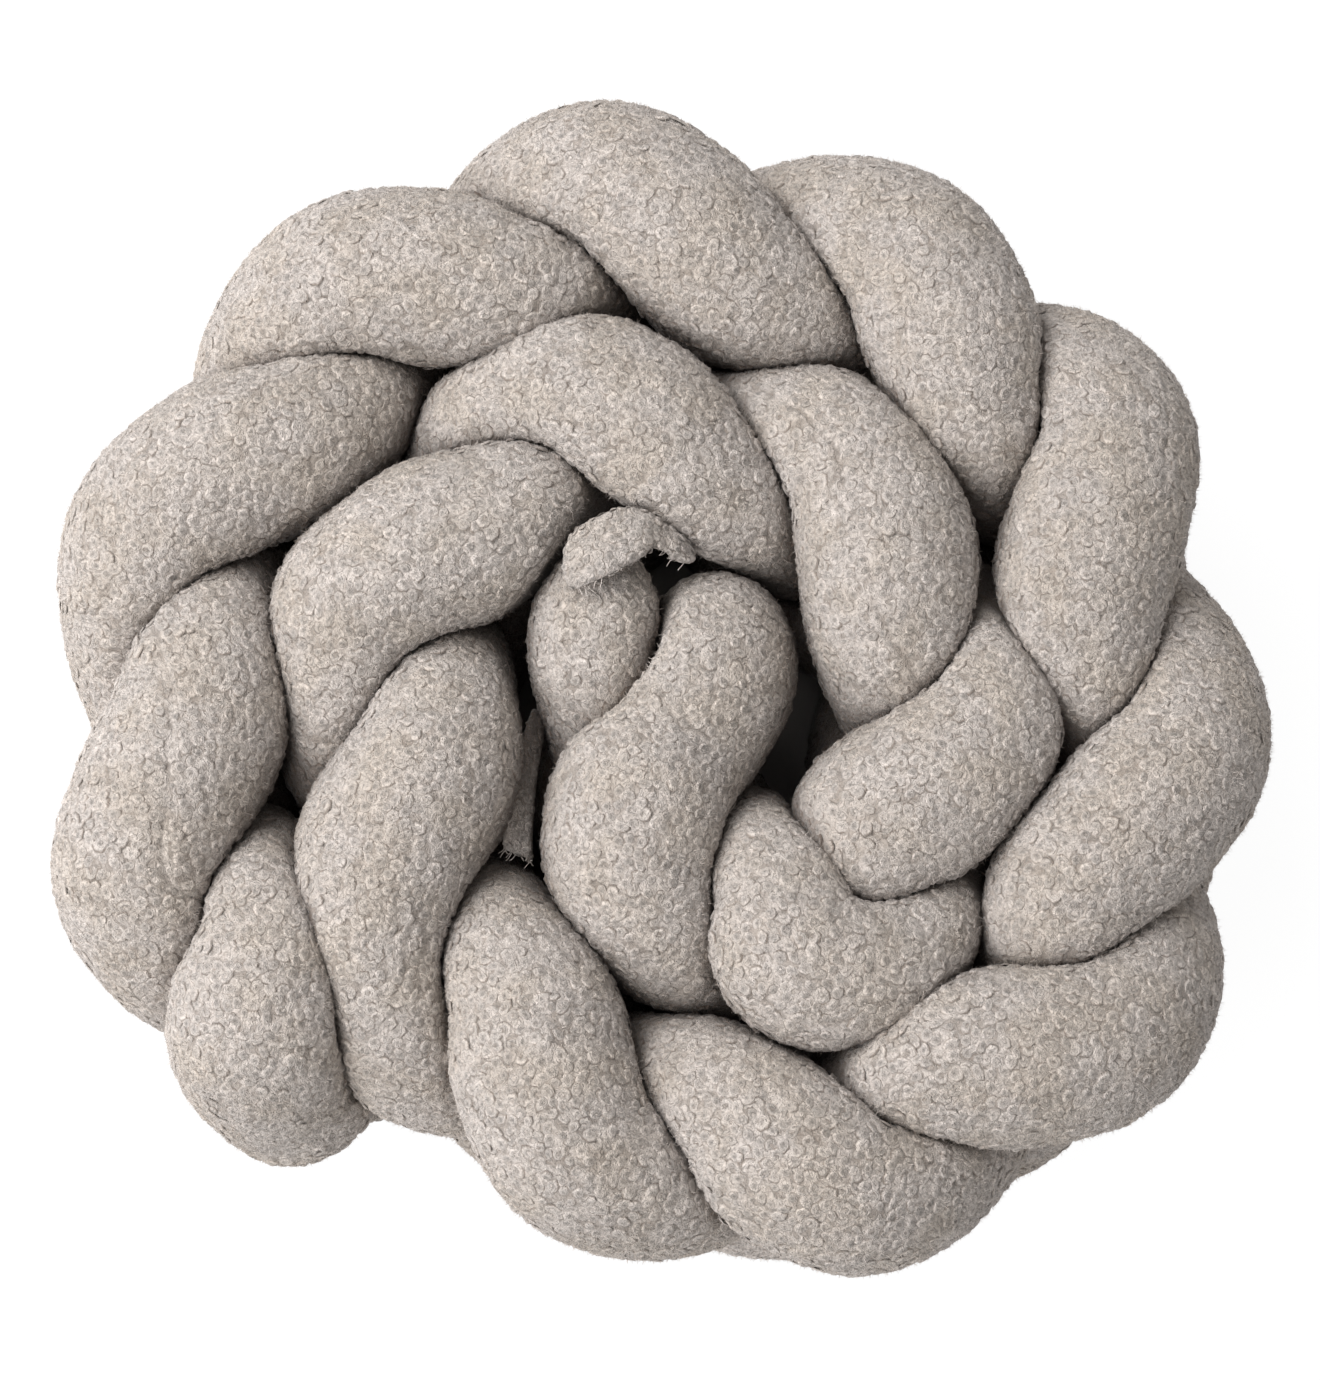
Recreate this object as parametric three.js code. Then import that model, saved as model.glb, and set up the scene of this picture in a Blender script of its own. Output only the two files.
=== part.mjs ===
// Braided crib bumper: three stuffed cloth tubes plaited together, the plait coiled on its edge.
//
// The plait stands on its edge on z = 0 and winds clockwise, seen from above, from its outer end
// into the middle. Each tube rises to the top of the plait once in every three lobes. Tubes press
// each other flat where they meet, press the floor flat, and bulge where they are free.
// Units are millimetres, +Z is up and the coil is centred on the Z axis.

import * as THREE from 'three';

// ---------------------------------------------------------------- driving sizes

const TUBE_COUNT = 3;
const TUBE_RADIUS = 38; // a stuffed tube that nothing presses
const PLAIT_MIDDLE = 79; // height of the plait's middle line
const PLAIT_RISE = 46; // a tube's centre line rises and falls this far from the middle line
const PLAIT_SWING = 17; // and swings this far sideways where two tubes cross
const PLAIT_LEAN = 5; // the plait's foot lies this far further in than its top
const MOST_BULGE = 1.12; // a pressed tube grows at most this much where it is free
const SKIN_GAP = 0.8; // left between two skins that press each other
const TIP_LENGTH = 40; // over which a tube's end rounds off
const TIP_SIZE = 0.2; // size of the last section of a tube, as a share of its radius

const SECTION_STEP = 22; // between two sections along a tube
const TIP_STEPS = [0, 4, 12]; // where the sections stand in a rounded end
const SECTION_SIDES = 12;
const LINE_STEP = 5; // between two points of a centre line where skins are compared
const NEAR_REACH = 2.4 * TUBE_RADIUS; // a centre line further off than this presses nothing
const SAME_TUBE_SKIP = 3 * TUBE_RADIUS; // a tube presses itself only past this length of itself
const BULGE_SPREAD = 4; // sections on each side over which a bulge evens out
const BULGE_ROUNDS = 4;
const SETTLE_ROUNDS = 40; // rounds in which facets are drawn back to their own side
const SETTLE_SHRINK = 0.985; // how far one round draws them

const CLOTH = { color: 0xa79e97, roughness: 0.95, metalness: 0 };

// ---------------------------------------------------------------- where the plait lies

// One row for each lobe on top of the plait, in order from the outer end to the middle.
const LOBES = [
  { x: -152, y: -135 }, // outer end, lower left
  { x: -210, y: -51 },
  { x: -184, y: 81 },
  { x: -96, y: 177 },
  { x: 14, y: 199 },
  { x: 130, y: 149 },
  { x: 198, y: 59 },
  { x: 209, y: -61 },
  { x: 150, y: -159 },
  { x: 60, y: -201 },
  { x: -37, y: -163 }, // the second turn begins inside the first
  { x: -104, y: -71 },
  { x: -96, y: 41 },
  { x: -4, y: 107 },
  { x: 98, y: 57 },
  { x: 122, y: -43 },
  { x: 60, y: -115 },
  { x: 0, y: -51 },
  { x: -24, y: 17 }, // the middle
];

// Where each tube leaves the plait for the binding at either end.
const TUBE_ENDS = [
  {
    lastLobe: 17.75,
    leadIn: [{ x: -135, y: -177, z: 56 }, { x: -155, y: -159, z: 92 }],
    leadOut: [{ x: -22, y: 23, z: 126 }, { x: -14, y: 45, z: 122 }],
  },
  {
    lastLobe: 17.5,
    leadIn: [{ x: -124, y: -161, z: 36 }],
    leadOut: [{ x: 8, y: 35, z: 66 }],
  },
  {
    lastLobe: 17.25,
    leadIn: [{ x: -140, y: -177, z: 28 }],
    leadOut: [{ x: 28, y: 11, z: 116 }, { x: 28, y: 41, z: 92 }],
  },
];
const LEAD_STEP = 0.25; // lobes between two points of a tube's line inside the plait

// ---------------------------------------------------------------- small pieces

const CLOTH_THICKNESS = 3;
const BINDING_OPEN = 1.6; // between the two leaves of a folded binding
const BACK_LEAF = 0.7; // the back leaf's reach as a share of the front leaf's

// Sections of the folded bindings: where the sewn edge lies, and which way and how far the
// fold stands out from it. Headings are degrees from +X, lifts are degrees above level.
const INNER_BINDING = [
  { x: -33, y: 41, z: 150, heading: 105, lift: 0, reach: 20 },
  { x: -24, y: 38, z: 153, heading: 98, lift: 0, reach: 27 },
  { x: -12, y: 38, z: 154, heading: 90, lift: 0, reach: 29 },
  { x: -2, y: 41, z: 151, heading: 80, lift: 0, reach: 24 },
  { x: 8, y: 45, z: 143, heading: 70, lift: 0, reach: 17 },
  { x: 18, y: 47, z: 139, heading: 60, lift: -10, reach: 10 },
];
const OUTER_BINDING = [
  { x: -133, y: -180, z: 50, heading: -20, lift: 0, reach: 12 },
  { x: -134, y: -179, z: 38, heading: -20, lift: 0, reach: 15 },
  { x: -134, y: -178, z: 26, heading: -20, lift: 0, reach: 15 },
  { x: -135, y: -177, z: 14, heading: -20, lift: 0, reach: 12 },
];

// Sections of the loose tongue, from where it comes out to its raw edge. The tilt lowers its
// right side.
const INNER_FLAP = [
  { x: -59, y: -21, z: 145, width: 6, tilt: 60 },
  { x: -57, y: -37, z: 140, width: 9, tilt: 55 },
  { x: -54, y: -51, z: 135, width: 12, tilt: 45 },
  { x: -52, y: -63, z: 129, width: 14, tilt: 35 },
  { x: -52, y: -75, z: 124, width: 14, tilt: 30 },
];
const FLAP_COLUMNS = 4;

// ---------------------------------------------------------------- centre lines

function smoothLine(points) {
  const line = new THREE.CatmullRomCurve3(points, false, 'catmullrom', 0.5);
  line.arcLengthDivisions = 1500;
  return line;
}

function toVector(row) {
  return new THREE.Vector3(row.x, row.y, row.z ?? 0);
}

// The centre of a tube where it passes a lobe, with a fraction of a lobe between two of them.
function pointInPlait(plan, tube, lobe) {
  const share = lobe / (LOBES.length - 1);
  const phase = (2 * Math.PI * (lobe - tube)) / TUBE_COUNT + Math.PI / 2;
  const along = plan.getTangent(share);
  const outward = new THREE.Vector3(-along.y, along.x, 0);
  const centre = plan.getPoint(share);
  const leaning = (PLAIT_LEAN * (Math.sin(phase) - 1)) / 2;
  centre.addScaledVector(outward, PLAIT_SWING * Math.sin(2 * phase) + leaning);
  centre.z = PLAIT_MIDDLE + PLAIT_RISE * Math.sin(phase);
  return centre;
}

function tubeLine(plan, tube) {
  const { lastLobe, leadIn, leadOut } = TUBE_ENDS[tube];
  const points = leadIn.map(toVector);
  for (let lobe = 0; lobe <= lastLobe; lobe += LEAD_STEP) {
    points.push(pointInPlait(plan, tube, lobe));
  }
  points.push(...leadOut.map(toVector));
  return smoothLine(points);
}

function evenRuns(from, to, step) {
  const count = Math.round((to - from) / step);
  return Array.from({ length: count + 1 }, (_, i) => from + ((to - from) * i) / count);
}

// Where a tube's sections stand: close together in its rounded ends, evenly spaced between.
function sectionRuns(length) {
  const middle = evenRuns(SECTION_STEP, length - SECTION_STEP, SECTION_STEP);
  return [...TIP_STEPS, ...middle, ...TIP_STEPS.map((run) => length - run).reverse()];
}

// Points of a line, with how far along it each one is.
function samplesAt(line, tube, runs) {
  const length = line.getLength();
  return runs.map((run) => ({ point: line.getPointAt(run / length), tube, run }));
}

// ---------------------------------------------------------------- pressed sections

// The section planes stand across the tube; each spoke of a section is a unit direction in it.
function spokesAt(samples, i) {
  const before = samples[Math.max(i - 1, 0)].point;
  const after = samples[Math.min(i + 1, samples.length - 1)].point;
  const along = after.clone().sub(before).normalize();
  const side = along.clone().cross(new THREE.Vector3(0, 0, 1)).normalize();
  const upward = side.clone().cross(along);
  const spokes = [];
  for (let s = 0; s < SECTION_SIDES; s += 1) {
    const turn = (2 * Math.PI * s) / SECTION_SIDES;
    const spoke = side.clone().multiplyScalar(Math.cos(turn));
    spokes.push(spoke.addScaledVector(upward, Math.sin(turn)));
  }
  return spokes;
}

function pressesOn(sample, other) {
  if (sample.tube === other.tube && Math.abs(sample.run - other.run) < SAME_TUBE_SKIP) {
    return false;
  }
  return sample.point.distanceTo(other.point) < NEAR_REACH;
}

// How far a spoke can reach before it meets the floor or the half-way plane to another line.
function spokeLimit(centre, spoke, neighbours) {
  let limit = spoke.z < 0 ? centre.z / -spoke.z : Infinity;
  for (const other of neighbours) {
    const offset = other.point.clone().sub(centre);
    const apart = offset.length();
    const lean = spoke.dot(offset) / apart;
    if (lean > 0) {
      limit = Math.min(limit, (apart - SKIN_GAP) / (2 * lean));
    }
  }
  return limit;
}

function tipScale(sample, length) {
  const fromEnd = Math.min(sample.run, length - sample.run);
  const gone = 1 - Math.min(fromEnd / TIP_LENGTH, 1);
  return Math.max(Math.sqrt(1 - gone * gone), TIP_SIZE);
}

function sectionArea(radii) {
  const wedge = 0.5 * Math.sin((2 * Math.PI) / SECTION_SIDES);
  return radii.reduce((sum, radius, s) => sum + wedge * radius * radii[(s + 1) % radii.length], 0);
}

function evenOut(values) {
  return values.map((_, i) => {
    const from = Math.max(i - BULGE_SPREAD, 0);
    const near = values.slice(from, i + BULGE_SPREAD + 1);
    return near.reduce((sum, value) => sum + value, 0) / near.length;
  });
}

// One tube's sections: its centre, spokes and how far the skin stands out along each spoke.
function pressedSections(samples, allLines) {
  const length = samples[samples.length - 1].run;
  const sections = samples.map((sample, i) => {
    const spokes = spokesAt(samples, i);
    const neighbours = allLines.filter((other) => pressesOn(sample, other));
    const limits = spokes.map((spoke) => spokeLimit(sample.point, spoke, neighbours));
    const plain = TUBE_RADIUS * tipScale(sample, length);
    return { ...sample, spokes, limits, plain, folds: spokes.map(() => false) };
  });
  let growth = sections.map(() => 1);
  for (let round = 0; round < BULGE_ROUNDS; round += 1) {
    for (const [i, section] of sections.entries()) {
      section.radii = section.limits.map((limit) => Math.min(section.plain * growth[i], limit));
    }
    const wanted = sections.map(({ plain, radii }) => {
      const roundArea = sectionArea(radii.map(() => plain));
      return THREE.MathUtils.clamp(Math.sqrt(roundArea / sectionArea(radii)), 1, MOST_BULGE);
    });
    growth = evenOut(wanted);
  }
  return sections;
}

// ---------------------------------------------------------------- skins

function closedGeometry(positions, faces) {
  const geometry = new THREE.BufferGeometry();
  geometry.setAttribute('position', new THREE.Float32BufferAttribute(positions, 3));
  geometry.setIndex(faces);
  return geometry;
}

function ringPoint(section, s) {
  const spoke = section.spokes[s % SECTION_SIDES];
  return section.point.clone().addScaledVector(spoke, section.radii[s % SECTION_SIDES]);
}

function distanceToLines(point, lines) {
  return Math.sqrt(Math.min(...lines.map((other) => point.distanceToSquared(other.point))));
}

// The two triangles of one facet: corners 0 and 1 lie on this section, 2 and 3 on the next one,
// and the fold between the triangles joins either 0 and 3 or 1 and 2.
function trianglesOf(folded) {
  return folded ? [[0, 2, 1], [1, 2, 3]] : [[0, 3, 1], [0, 2, 3]];
}

// Where a facet is compared with its neighbours: the middles of its triangles and their edges.
function probesOf(folded) {
  const edges = [[0, 1], [0, 2], folded ? [1, 2] : [0, 3]];
  return [...edges, ...trianglesOf(folded)];
}

// A flat facet can cut across a neighbour's side although its corners don't. Such a facet is
// folded the other way, and if that doesn't help, its corners are drawn back a little.
function settleTube(sections, allLines) {
  let moved = 0;
  for (let i = 0; i + 1 < sections.length; i += 1) {
    const pair = [sections[i], sections[i + 1]];
    const foreign = allLines.filter((other) => pressesOn(pair[0], other));
    const own = allLines.filter(
      ({ tube, run }) => tube === pair[0].tube && Math.abs(run - pair[0].run) < 2 * TUBE_RADIUS,
    );
    for (let s = 0; s < SECTION_SIDES; s += 1) {
      const sides = [s, (s + 1) % SECTION_SIDES];
      const corners = pair.flatMap((section) => sides.map((side) => ringPoint(section, side)));
      const middleOf = (probe) => {
        const middle = new THREE.Vector3();
        probe.forEach((corner) => middle.addScaledVector(corners[corner], 1 / probe.length));
        return middle;
      };
      const strays = (probe) => {
        const middle = middleOf(probe);
        return distanceToLines(middle, own) + SKIN_GAP / 2 > distanceToLines(middle, foreign);
      };
      const choices = [false, true].map((folded) => ({
        folded,
        straying: probesOf(folded).filter(strays),
        height: distanceToLines(middleOf(folded ? [1, 2] : [0, 3]), own),
      }));
      choices.sort((a, b) => a.straying.length - b.straying.length || b.height - a.height);
      pair[0].folds[s] = choices[0].folded;
      for (const corner of new Set(choices[0].straying.flat())) {
        pair[Math.floor(corner / 2)].radii[sides[corner % 2]] *= SETTLE_SHRINK;
        moved += 1;
      }
    }
  }
  return moved;
}

function skinGeometry(sections) {
  const positions = [];
  for (const section of sections) {
    for (let s = 0; s < SECTION_SIDES; s += 1) {
      positions.push(...ringPoint(section, s).toArray());
    }
  }
  const first = positions.length / 3;
  positions.push(...sections[0].point.toArray());
  positions.push(...sections[sections.length - 1].point.toArray());
  const faces = [];
  const lastRing = (sections.length - 1) * SECTION_SIDES;
  for (let s = 0; s < SECTION_SIDES; s += 1) {
    const next = (s + 1) % SECTION_SIDES;
    for (let i = 0; i + 1 < sections.length; i += 1) {
      const here = i * SECTION_SIDES;
      const there = here + SECTION_SIDES;
      const corners = [here + s, here + next, there + s, there + next];
      faces.push(...trianglesOf(sections[i].folds[s]).flat().map((corner) => corners[corner]));
    }
    faces.push(first, s, next, first + 1, lastRing + next, lastRing + s);
  }
  return closedGeometry(positions, faces);
}

// ---------------------------------------------------------------- cloth sheets

// A closed sheet of even thickness on a grid of middle points, given row by row.
function sheetGeometry(rows, thickness) {
  const columns = rows[0].length;
  const normalAt = (r, c) => {
    const down = rows[Math.min(r + 1, rows.length - 1)][c].clone();
    down.sub(rows[Math.max(r - 1, 0)][c]);
    const across = rows[r][Math.min(c + 1, columns - 1)].clone();
    across.sub(rows[r][Math.max(c - 1, 0)]);
    return down.cross(across).normalize();
  };
  const positions = [];
  for (const half of [thickness / 2, -thickness / 2]) {
    rows.forEach((row, r) =>
      row.forEach((point, c) => {
        positions.push(...point.clone().addScaledVector(normalAt(r, c), half).toArray());
      }),
    );
  }
  const faces = [];
  const back = rows.length * columns;
  const quad = (a, b, c, d) => faces.push(a, b, c, a, c, d);
  for (let r = 0; r + 1 < rows.length; r += 1) {
    for (let c = 0; c + 1 < columns; c += 1) {
      const a = r * columns + c;
      quad(a, a + columns, a + columns + 1, a + 1);
      quad(back + a, back + a + 1, back + a + columns + 1, back + a + columns);
    }
  }
  for (let c = 0; c + 1 < columns; c += 1) {
    const last = (rows.length - 1) * columns + c;
    quad(c, c + 1, back + c + 1, back + c);
    quad(last, back + last, back + last + 1, last + 1);
  }
  for (let r = 0; r + 1 < rows.length; r += 1) {
    const left = r * columns;
    const right = left + columns - 1;
    quad(left, back + left, back + left + columns, left + columns);
    quad(right, right + columns, back + right + columns, back + right);
  }
  return closedGeometry(positions, faces);
}

// One folded section, as steps along the reach and across the opening: out along the front
// leaf, round the fold and part of the way back.
function foldProfile(reach) {
  const half = (CLOTH_THICKNESS + BINDING_OPEN) / 2;
  const bend = reach - half;
  const profile = [{ out: 0, up: half }, { out: bend / 2, up: half }];
  for (const turn of [90, 45, 0, -45, -90]) {
    const angle = THREE.MathUtils.degToRad(turn);
    profile.push({ out: bend + half * Math.cos(angle), up: half * Math.sin(angle) });
  }
  profile.push({ out: bend / 2, up: -half }, { out: (1 - BACK_LEAF) * reach, up: -half });
  return profile;
}

function foldedBinding(table) {
  const bases = table.map(toVector);
  const rows = table.map(({ heading, lift, reach }, r) => {
    const [turn, rise] = [heading, lift].map(THREE.MathUtils.degToRad);
    const level = Math.cos(rise);
    const out = new THREE.Vector3(level * Math.cos(turn), level * Math.sin(turn), Math.sin(rise));
    const along = bases[Math.min(r + 1, bases.length - 1)].clone();
    along.sub(bases[Math.max(r - 1, 0)]);
    const up = along.cross(out).normalize();
    return foldProfile(reach).map((step) =>
      bases[r].clone().addScaledVector(out, step.out).addScaledVector(up, step.up),
    );
  });
  return sheetGeometry(rows, CLOTH_THICKNESS);
}

function hangingFlap(table) {
  const rows = table.map((row) => {
    const tilt = THREE.MathUtils.degToRad(row.tilt);
    const across = new THREE.Vector3(Math.cos(tilt), 0, -Math.sin(tilt));
    return Array.from({ length: FLAP_COLUMNS }, (_, c) => {
      const share = c / (FLAP_COLUMNS - 1) - 1 / 2;
      return toVector(row).addScaledVector(across, row.width * share);
    });
  });
  return sheetGeometry(rows, CLOTH_THICKNESS);
}

// ---------------------------------------------------------------- assembly

const bumper = new THREE.Group();

function addPiece(name, geometry) {
  const mesh = new THREE.Mesh(geometry, new THREE.MeshStandardMaterial(CLOTH));
  mesh.name = name;
  bumper.add(mesh);
}

const plan = smoothLine(LOBES.map(toVector));
const lines = TUBE_ENDS.map((_, tube) => tubeLine(plan, tube));
const allLines = lines.flatMap((line, tube) =>
  samplesAt(line, tube, evenRuns(0, line.getLength(), LINE_STEP)),
);
const tubes = lines.map((line, tube) =>
  pressedSections(samplesAt(line, tube, sectionRuns(line.getLength())), allLines),
);
for (let round = 0; round < SETTLE_ROUNDS; round += 1) {
  const moved = tubes.reduce((sum, sections) => sum + settleTube(sections, allLines), 0);
  if (moved === 0) {
    break;
  }
}
tubes.forEach((sections, tube) => addPiece(`tube_${tube + 1}`, skinGeometry(sections)));
addPiece('inner_binding', foldedBinding(INNER_BINDING));
addPiece('outer_binding', foldedBinding(OUTER_BINDING));
addPiece('inner_flap', hangingFlap(INNER_FLAP));

export default bumper;
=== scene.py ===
"""The look of a braided crib bumper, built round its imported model.

Three stuffed tubes of boucle cloth are plaited together and the plait is coiled on its edge.
Each tube is a pressed skin, covered where the air reaches it with small curls of yarn and with
loose fibres. The tube ends are sewn into folded bindings. Lengths are in metres, +Z is up.
"""

import logging
import math
from dataclasses import dataclass, field
from enum import Enum
from typing import NamedTuple, Sequence

import bmesh
import bpy
import numpy as np
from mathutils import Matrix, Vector
from mathutils.bvhtree import BVHTree


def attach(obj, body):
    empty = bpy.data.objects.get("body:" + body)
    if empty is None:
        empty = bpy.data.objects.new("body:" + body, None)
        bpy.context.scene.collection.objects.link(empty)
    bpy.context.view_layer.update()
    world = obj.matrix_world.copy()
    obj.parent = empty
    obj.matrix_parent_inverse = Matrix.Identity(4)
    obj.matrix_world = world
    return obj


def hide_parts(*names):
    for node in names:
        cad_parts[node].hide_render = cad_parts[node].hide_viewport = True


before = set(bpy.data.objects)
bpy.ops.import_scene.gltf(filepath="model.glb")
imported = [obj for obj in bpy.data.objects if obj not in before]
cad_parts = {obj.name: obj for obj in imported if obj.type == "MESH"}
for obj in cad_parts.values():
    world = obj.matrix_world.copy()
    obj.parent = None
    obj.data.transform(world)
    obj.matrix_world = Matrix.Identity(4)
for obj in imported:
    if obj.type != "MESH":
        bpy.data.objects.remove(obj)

log = logging.getLogger("crib_bumper")
Array = np.ndarray
Piece = bpy.types.Object
Material = bpy.types.Material
Socket = bpy.types.NodeSocket
Faces = list[tuple[int, ...]]
Colour = tuple[float, float, float]
Curve = tuple[tuple[float, float], ...]
UPWARD = np.array([0.0, 0.0, 1.0])
WHITE = (1.0, 1.0, 1.0)
MM = 0.001
BODY = "root"
LOOSE_WHORL = 1.2 * MM  # how far loose yarn counts as lying from its loop's eye, each way


# ---- places, given


class Place(NamedTuple):
    """A point of the plait, in millimetres."""

    x: float
    y: float
    z: float = 0.0


class TubeEnd(NamedTuple):
    """Where one tube leaves the plait at its two ends, and how slim its inner end is."""

    last_lobe: float
    lead_in: tuple[Place, ...]
    lead_out: tuple[Place, ...]
    slim: float = 1.0


class Lay(NamedTuple):
    """Where a tube lies off the plait's own line: by how many millimetres, and over how many lobes."""

    tube: int
    lobe: float
    x: float
    y: float
    z: float
    spread: float = 0.3


class SeamRow(NamedTuple):
    """Where a tube's lengthwise seam lies at a lobe: 0 faces the coil's middle, 90 is on top."""

    lobe: float
    turn: float


class HemPlace(NamedTuple):
    """A place on a binding's hem in millimetres, and how its fold stands out there, in degrees."""

    x: float
    y: float
    z: float
    heading: float
    lift: float
    reach: float


class FlapPlace(NamedTuple):
    """A section of a loose flap: its middle and width in millimetres, and its sideways tilt."""

    x: float
    y: float
    z: float
    width: float
    tilt: float


# One for each lobe on top of the plait, from the outer end to the middle.
LOBES = (
    Place(-162, -146), Place(-203, -48), Place(-184, 90), Place(-94, 176), Place(13, 200),
    Place(131, 154), Place(193, 69), Place(207, -57), Place(158, -157), Place(62, -198),
    Place(-42, -167), Place(-110, -73), Place(-99, 53), Place(-7, 113), Place(102, 59),
    Place(127, -43), Place(65, -118), Place(-2, -54), Place(-22, 17),
)

TUBE_ENDS = (
    TubeEnd(
        17.25,
        (Place(-135, -179, 56), Place(-156, -163, 92)),
        (Place(-15, -13, 100), Place(-22, 13, 119), Place(-19, 35, 122), Place(-11, 54, 114)),
        0.76,
    ),
    TubeEnd(17.5, (Place(-124, -161, 36),), (Place(8, 35, 66),)),
    TubeEnd(17.25, (Place(-140, -177, 28),), (Place(27, 7, 113), Place(18, 36, 90))),
)

LAYS = (
    Lay(0, 5.6, 2, 4, 0), Lay(0, 6.45, 2, -7, 4), Lay(0, 8.55, -4, 1, -4),
    Lay(0, 9.3, -1, -4, -5), Lay(0, 12.5, 4, 6, 6), Lay(0, 15.45, 1, -6, 3),
    Lay(1, 1.45, -4, 5, 5), Lay(1, 6.5, 2, -5, -4), Lay(1, 7.45, -2, -6, 3),
    Lay(1, 12.45, 0, 5, -3), Lay(1, 15.5, 4, 0, 0),
    Lay(2, 1.45, 2, 5, -4), Lay(2, 7.5, 5, -3, -3), Lay(2, 8.45, -4, -5, 3),
    Lay(2, 10.45, -7, -11, 0), Lay(2, 11.4, 5, 5, 3), Lay(2, 14.45, 12, -2, 0),
)

# One group for each tube. Where a seam doesn't show it is turned to the underside.
SEAMS = (
    (SeamRow(-1, 250), SeamRow(18, 250)),
    (
        SeamRow(-1, 20), SeamRow(0.7, 58), SeamRow(1, 81), SeamRow(1.3, 116), SeamRow(4, 290),
        SeamRow(18, 280),
    ),
    (
        SeamRow(-1, 260), SeamRow(11, 250), SeamRow(13, 170), SeamRow(13.6, 100), SeamRow(13.9, 66),
        SeamRow(14.3, 82), SeamRow(15, 60), SeamRow(16.2, -40), SeamRow(17.5, -40),
    ),
)

INNER_HEM = (
    HemPlace(-30, 35, 150, 100, 0, 18),
    HemPlace(-25, 36, 155, 97, -3, 24),
    HemPlace(-17, 39, 158, 92, -6, 27),
    HemPlace(-10, 43, 158, 84, -8, 26),
    HemPlace(-5, 47, 156, 74, -8, 21),
    HemPlace(-1, 53, 153, 64, -8, 13),
    HemPlace(5, 53, 149, 60, -8, 10),
    HemPlace(10, 51, 146, 56, -12, 9),
    HemPlace(16, 49, 139, 50, -24, 7),
)

OUTER_HEM = (
    HemPlace(-133, -180, 50, -20, 0, 12),
    HemPlace(-134, -179, 38, -20, 0, 15),
    HemPlace(-134, -178, 26, -20, 0, 15),
    HemPlace(-135, -177, 14, -20, 0, 12),
)

INNER_FLAP = (
    FlapPlace(-46, -10, 104, 12, 58),
    FlapPlace(-49.5, -27, 118, 14, 54),
    FlapPlace(-52.5, -44, 123, 15, 48),
    FlapPlace(-54.5, -60, 121, 15, 40),
    FlapPlace(-55, -74, 117, 14, 34),
)


# ---- lines


def unit(vectors: Array) -> Array:
    """Gives the same vectors, each with a length of 1."""
    return vectors / np.maximum(np.linalg.norm(vectors, axis=-1, keepdims=True), 1e-9)


def round_about(turn: Array, first: Array, second: Array) -> Array:
    """Gives directions turned by angles from a first direction towards a second one."""
    return np.cos(turn)[..., None] * first[:, None] + np.sin(turn)[..., None] * second[:, None]


@dataclass(frozen=True)
class SmoothLine:
    """A uniform Catmull-Rom line through placed points; point i lies at step i."""

    points: Array

    def at(self, steps: Array) -> Array:
        """Gives points of the line.

        Args:
            steps: Where along the line, counted in its placed points.

        Returns:
            One point for each step.
        """
        ends = 2 * self.points[[0, -1]] - self.points[[1, -2]]
        held = np.vstack([ends[:1], self.points, ends[1:]])
        first = np.clip(np.floor(steps).astype(int), 0, len(self.points) - 2)
        share = (steps - first)[:, None]
        before, start, end, after = (held[first + i] for i in range(4))
        leave = (end - before) / 2
        arrive = (after - start) / 2
        from_start = (2 * share**3 - 3 * share**2 + 1) * start + (share**3 - 2 * share**2 + share) * leave
        to_end = (3 * share**2 - 2 * share**3) * end + (share**3 - share**2) * arrive
        return from_start + to_end

    def even_rows(self, count: int) -> Array:
        """Gives a number of points at even steps from end to end."""
        return self.at(np.linspace(0, len(self.points) - 1, count))

    def even_steps(self, spacing: float, fineness: int = 60) -> tuple[Array, Array]:
        """Divides the line into even lengths.

        Args:
            spacing: About how far apart the points should be.
            fineness: Straight pieces for each placed point when the line is measured.

        Returns:
            The distance along the line of each point, and its step.
        """
        steps = np.linspace(0, len(self.points) - 1, len(self.points) * fineness)
        pieces = np.linalg.norm(np.diff(self.at(steps), axis=0), axis=1)
        travelled = np.concatenate([[0], np.cumsum(pieces)])
        runs = np.linspace(0, travelled[-1], round(travelled[-1] / spacing) + 1)
        return runs, np.interp(runs, travelled, steps)


@dataclass(frozen=True)
class TubeLine:
    """A tube's centre line, cut into even lengths."""

    tube: int
    points: Array
    runs: Array
    lobes: Array

    @property
    def length(self) -> float:
        """The length of the whole line."""
        return float(self.runs[-1])


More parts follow.
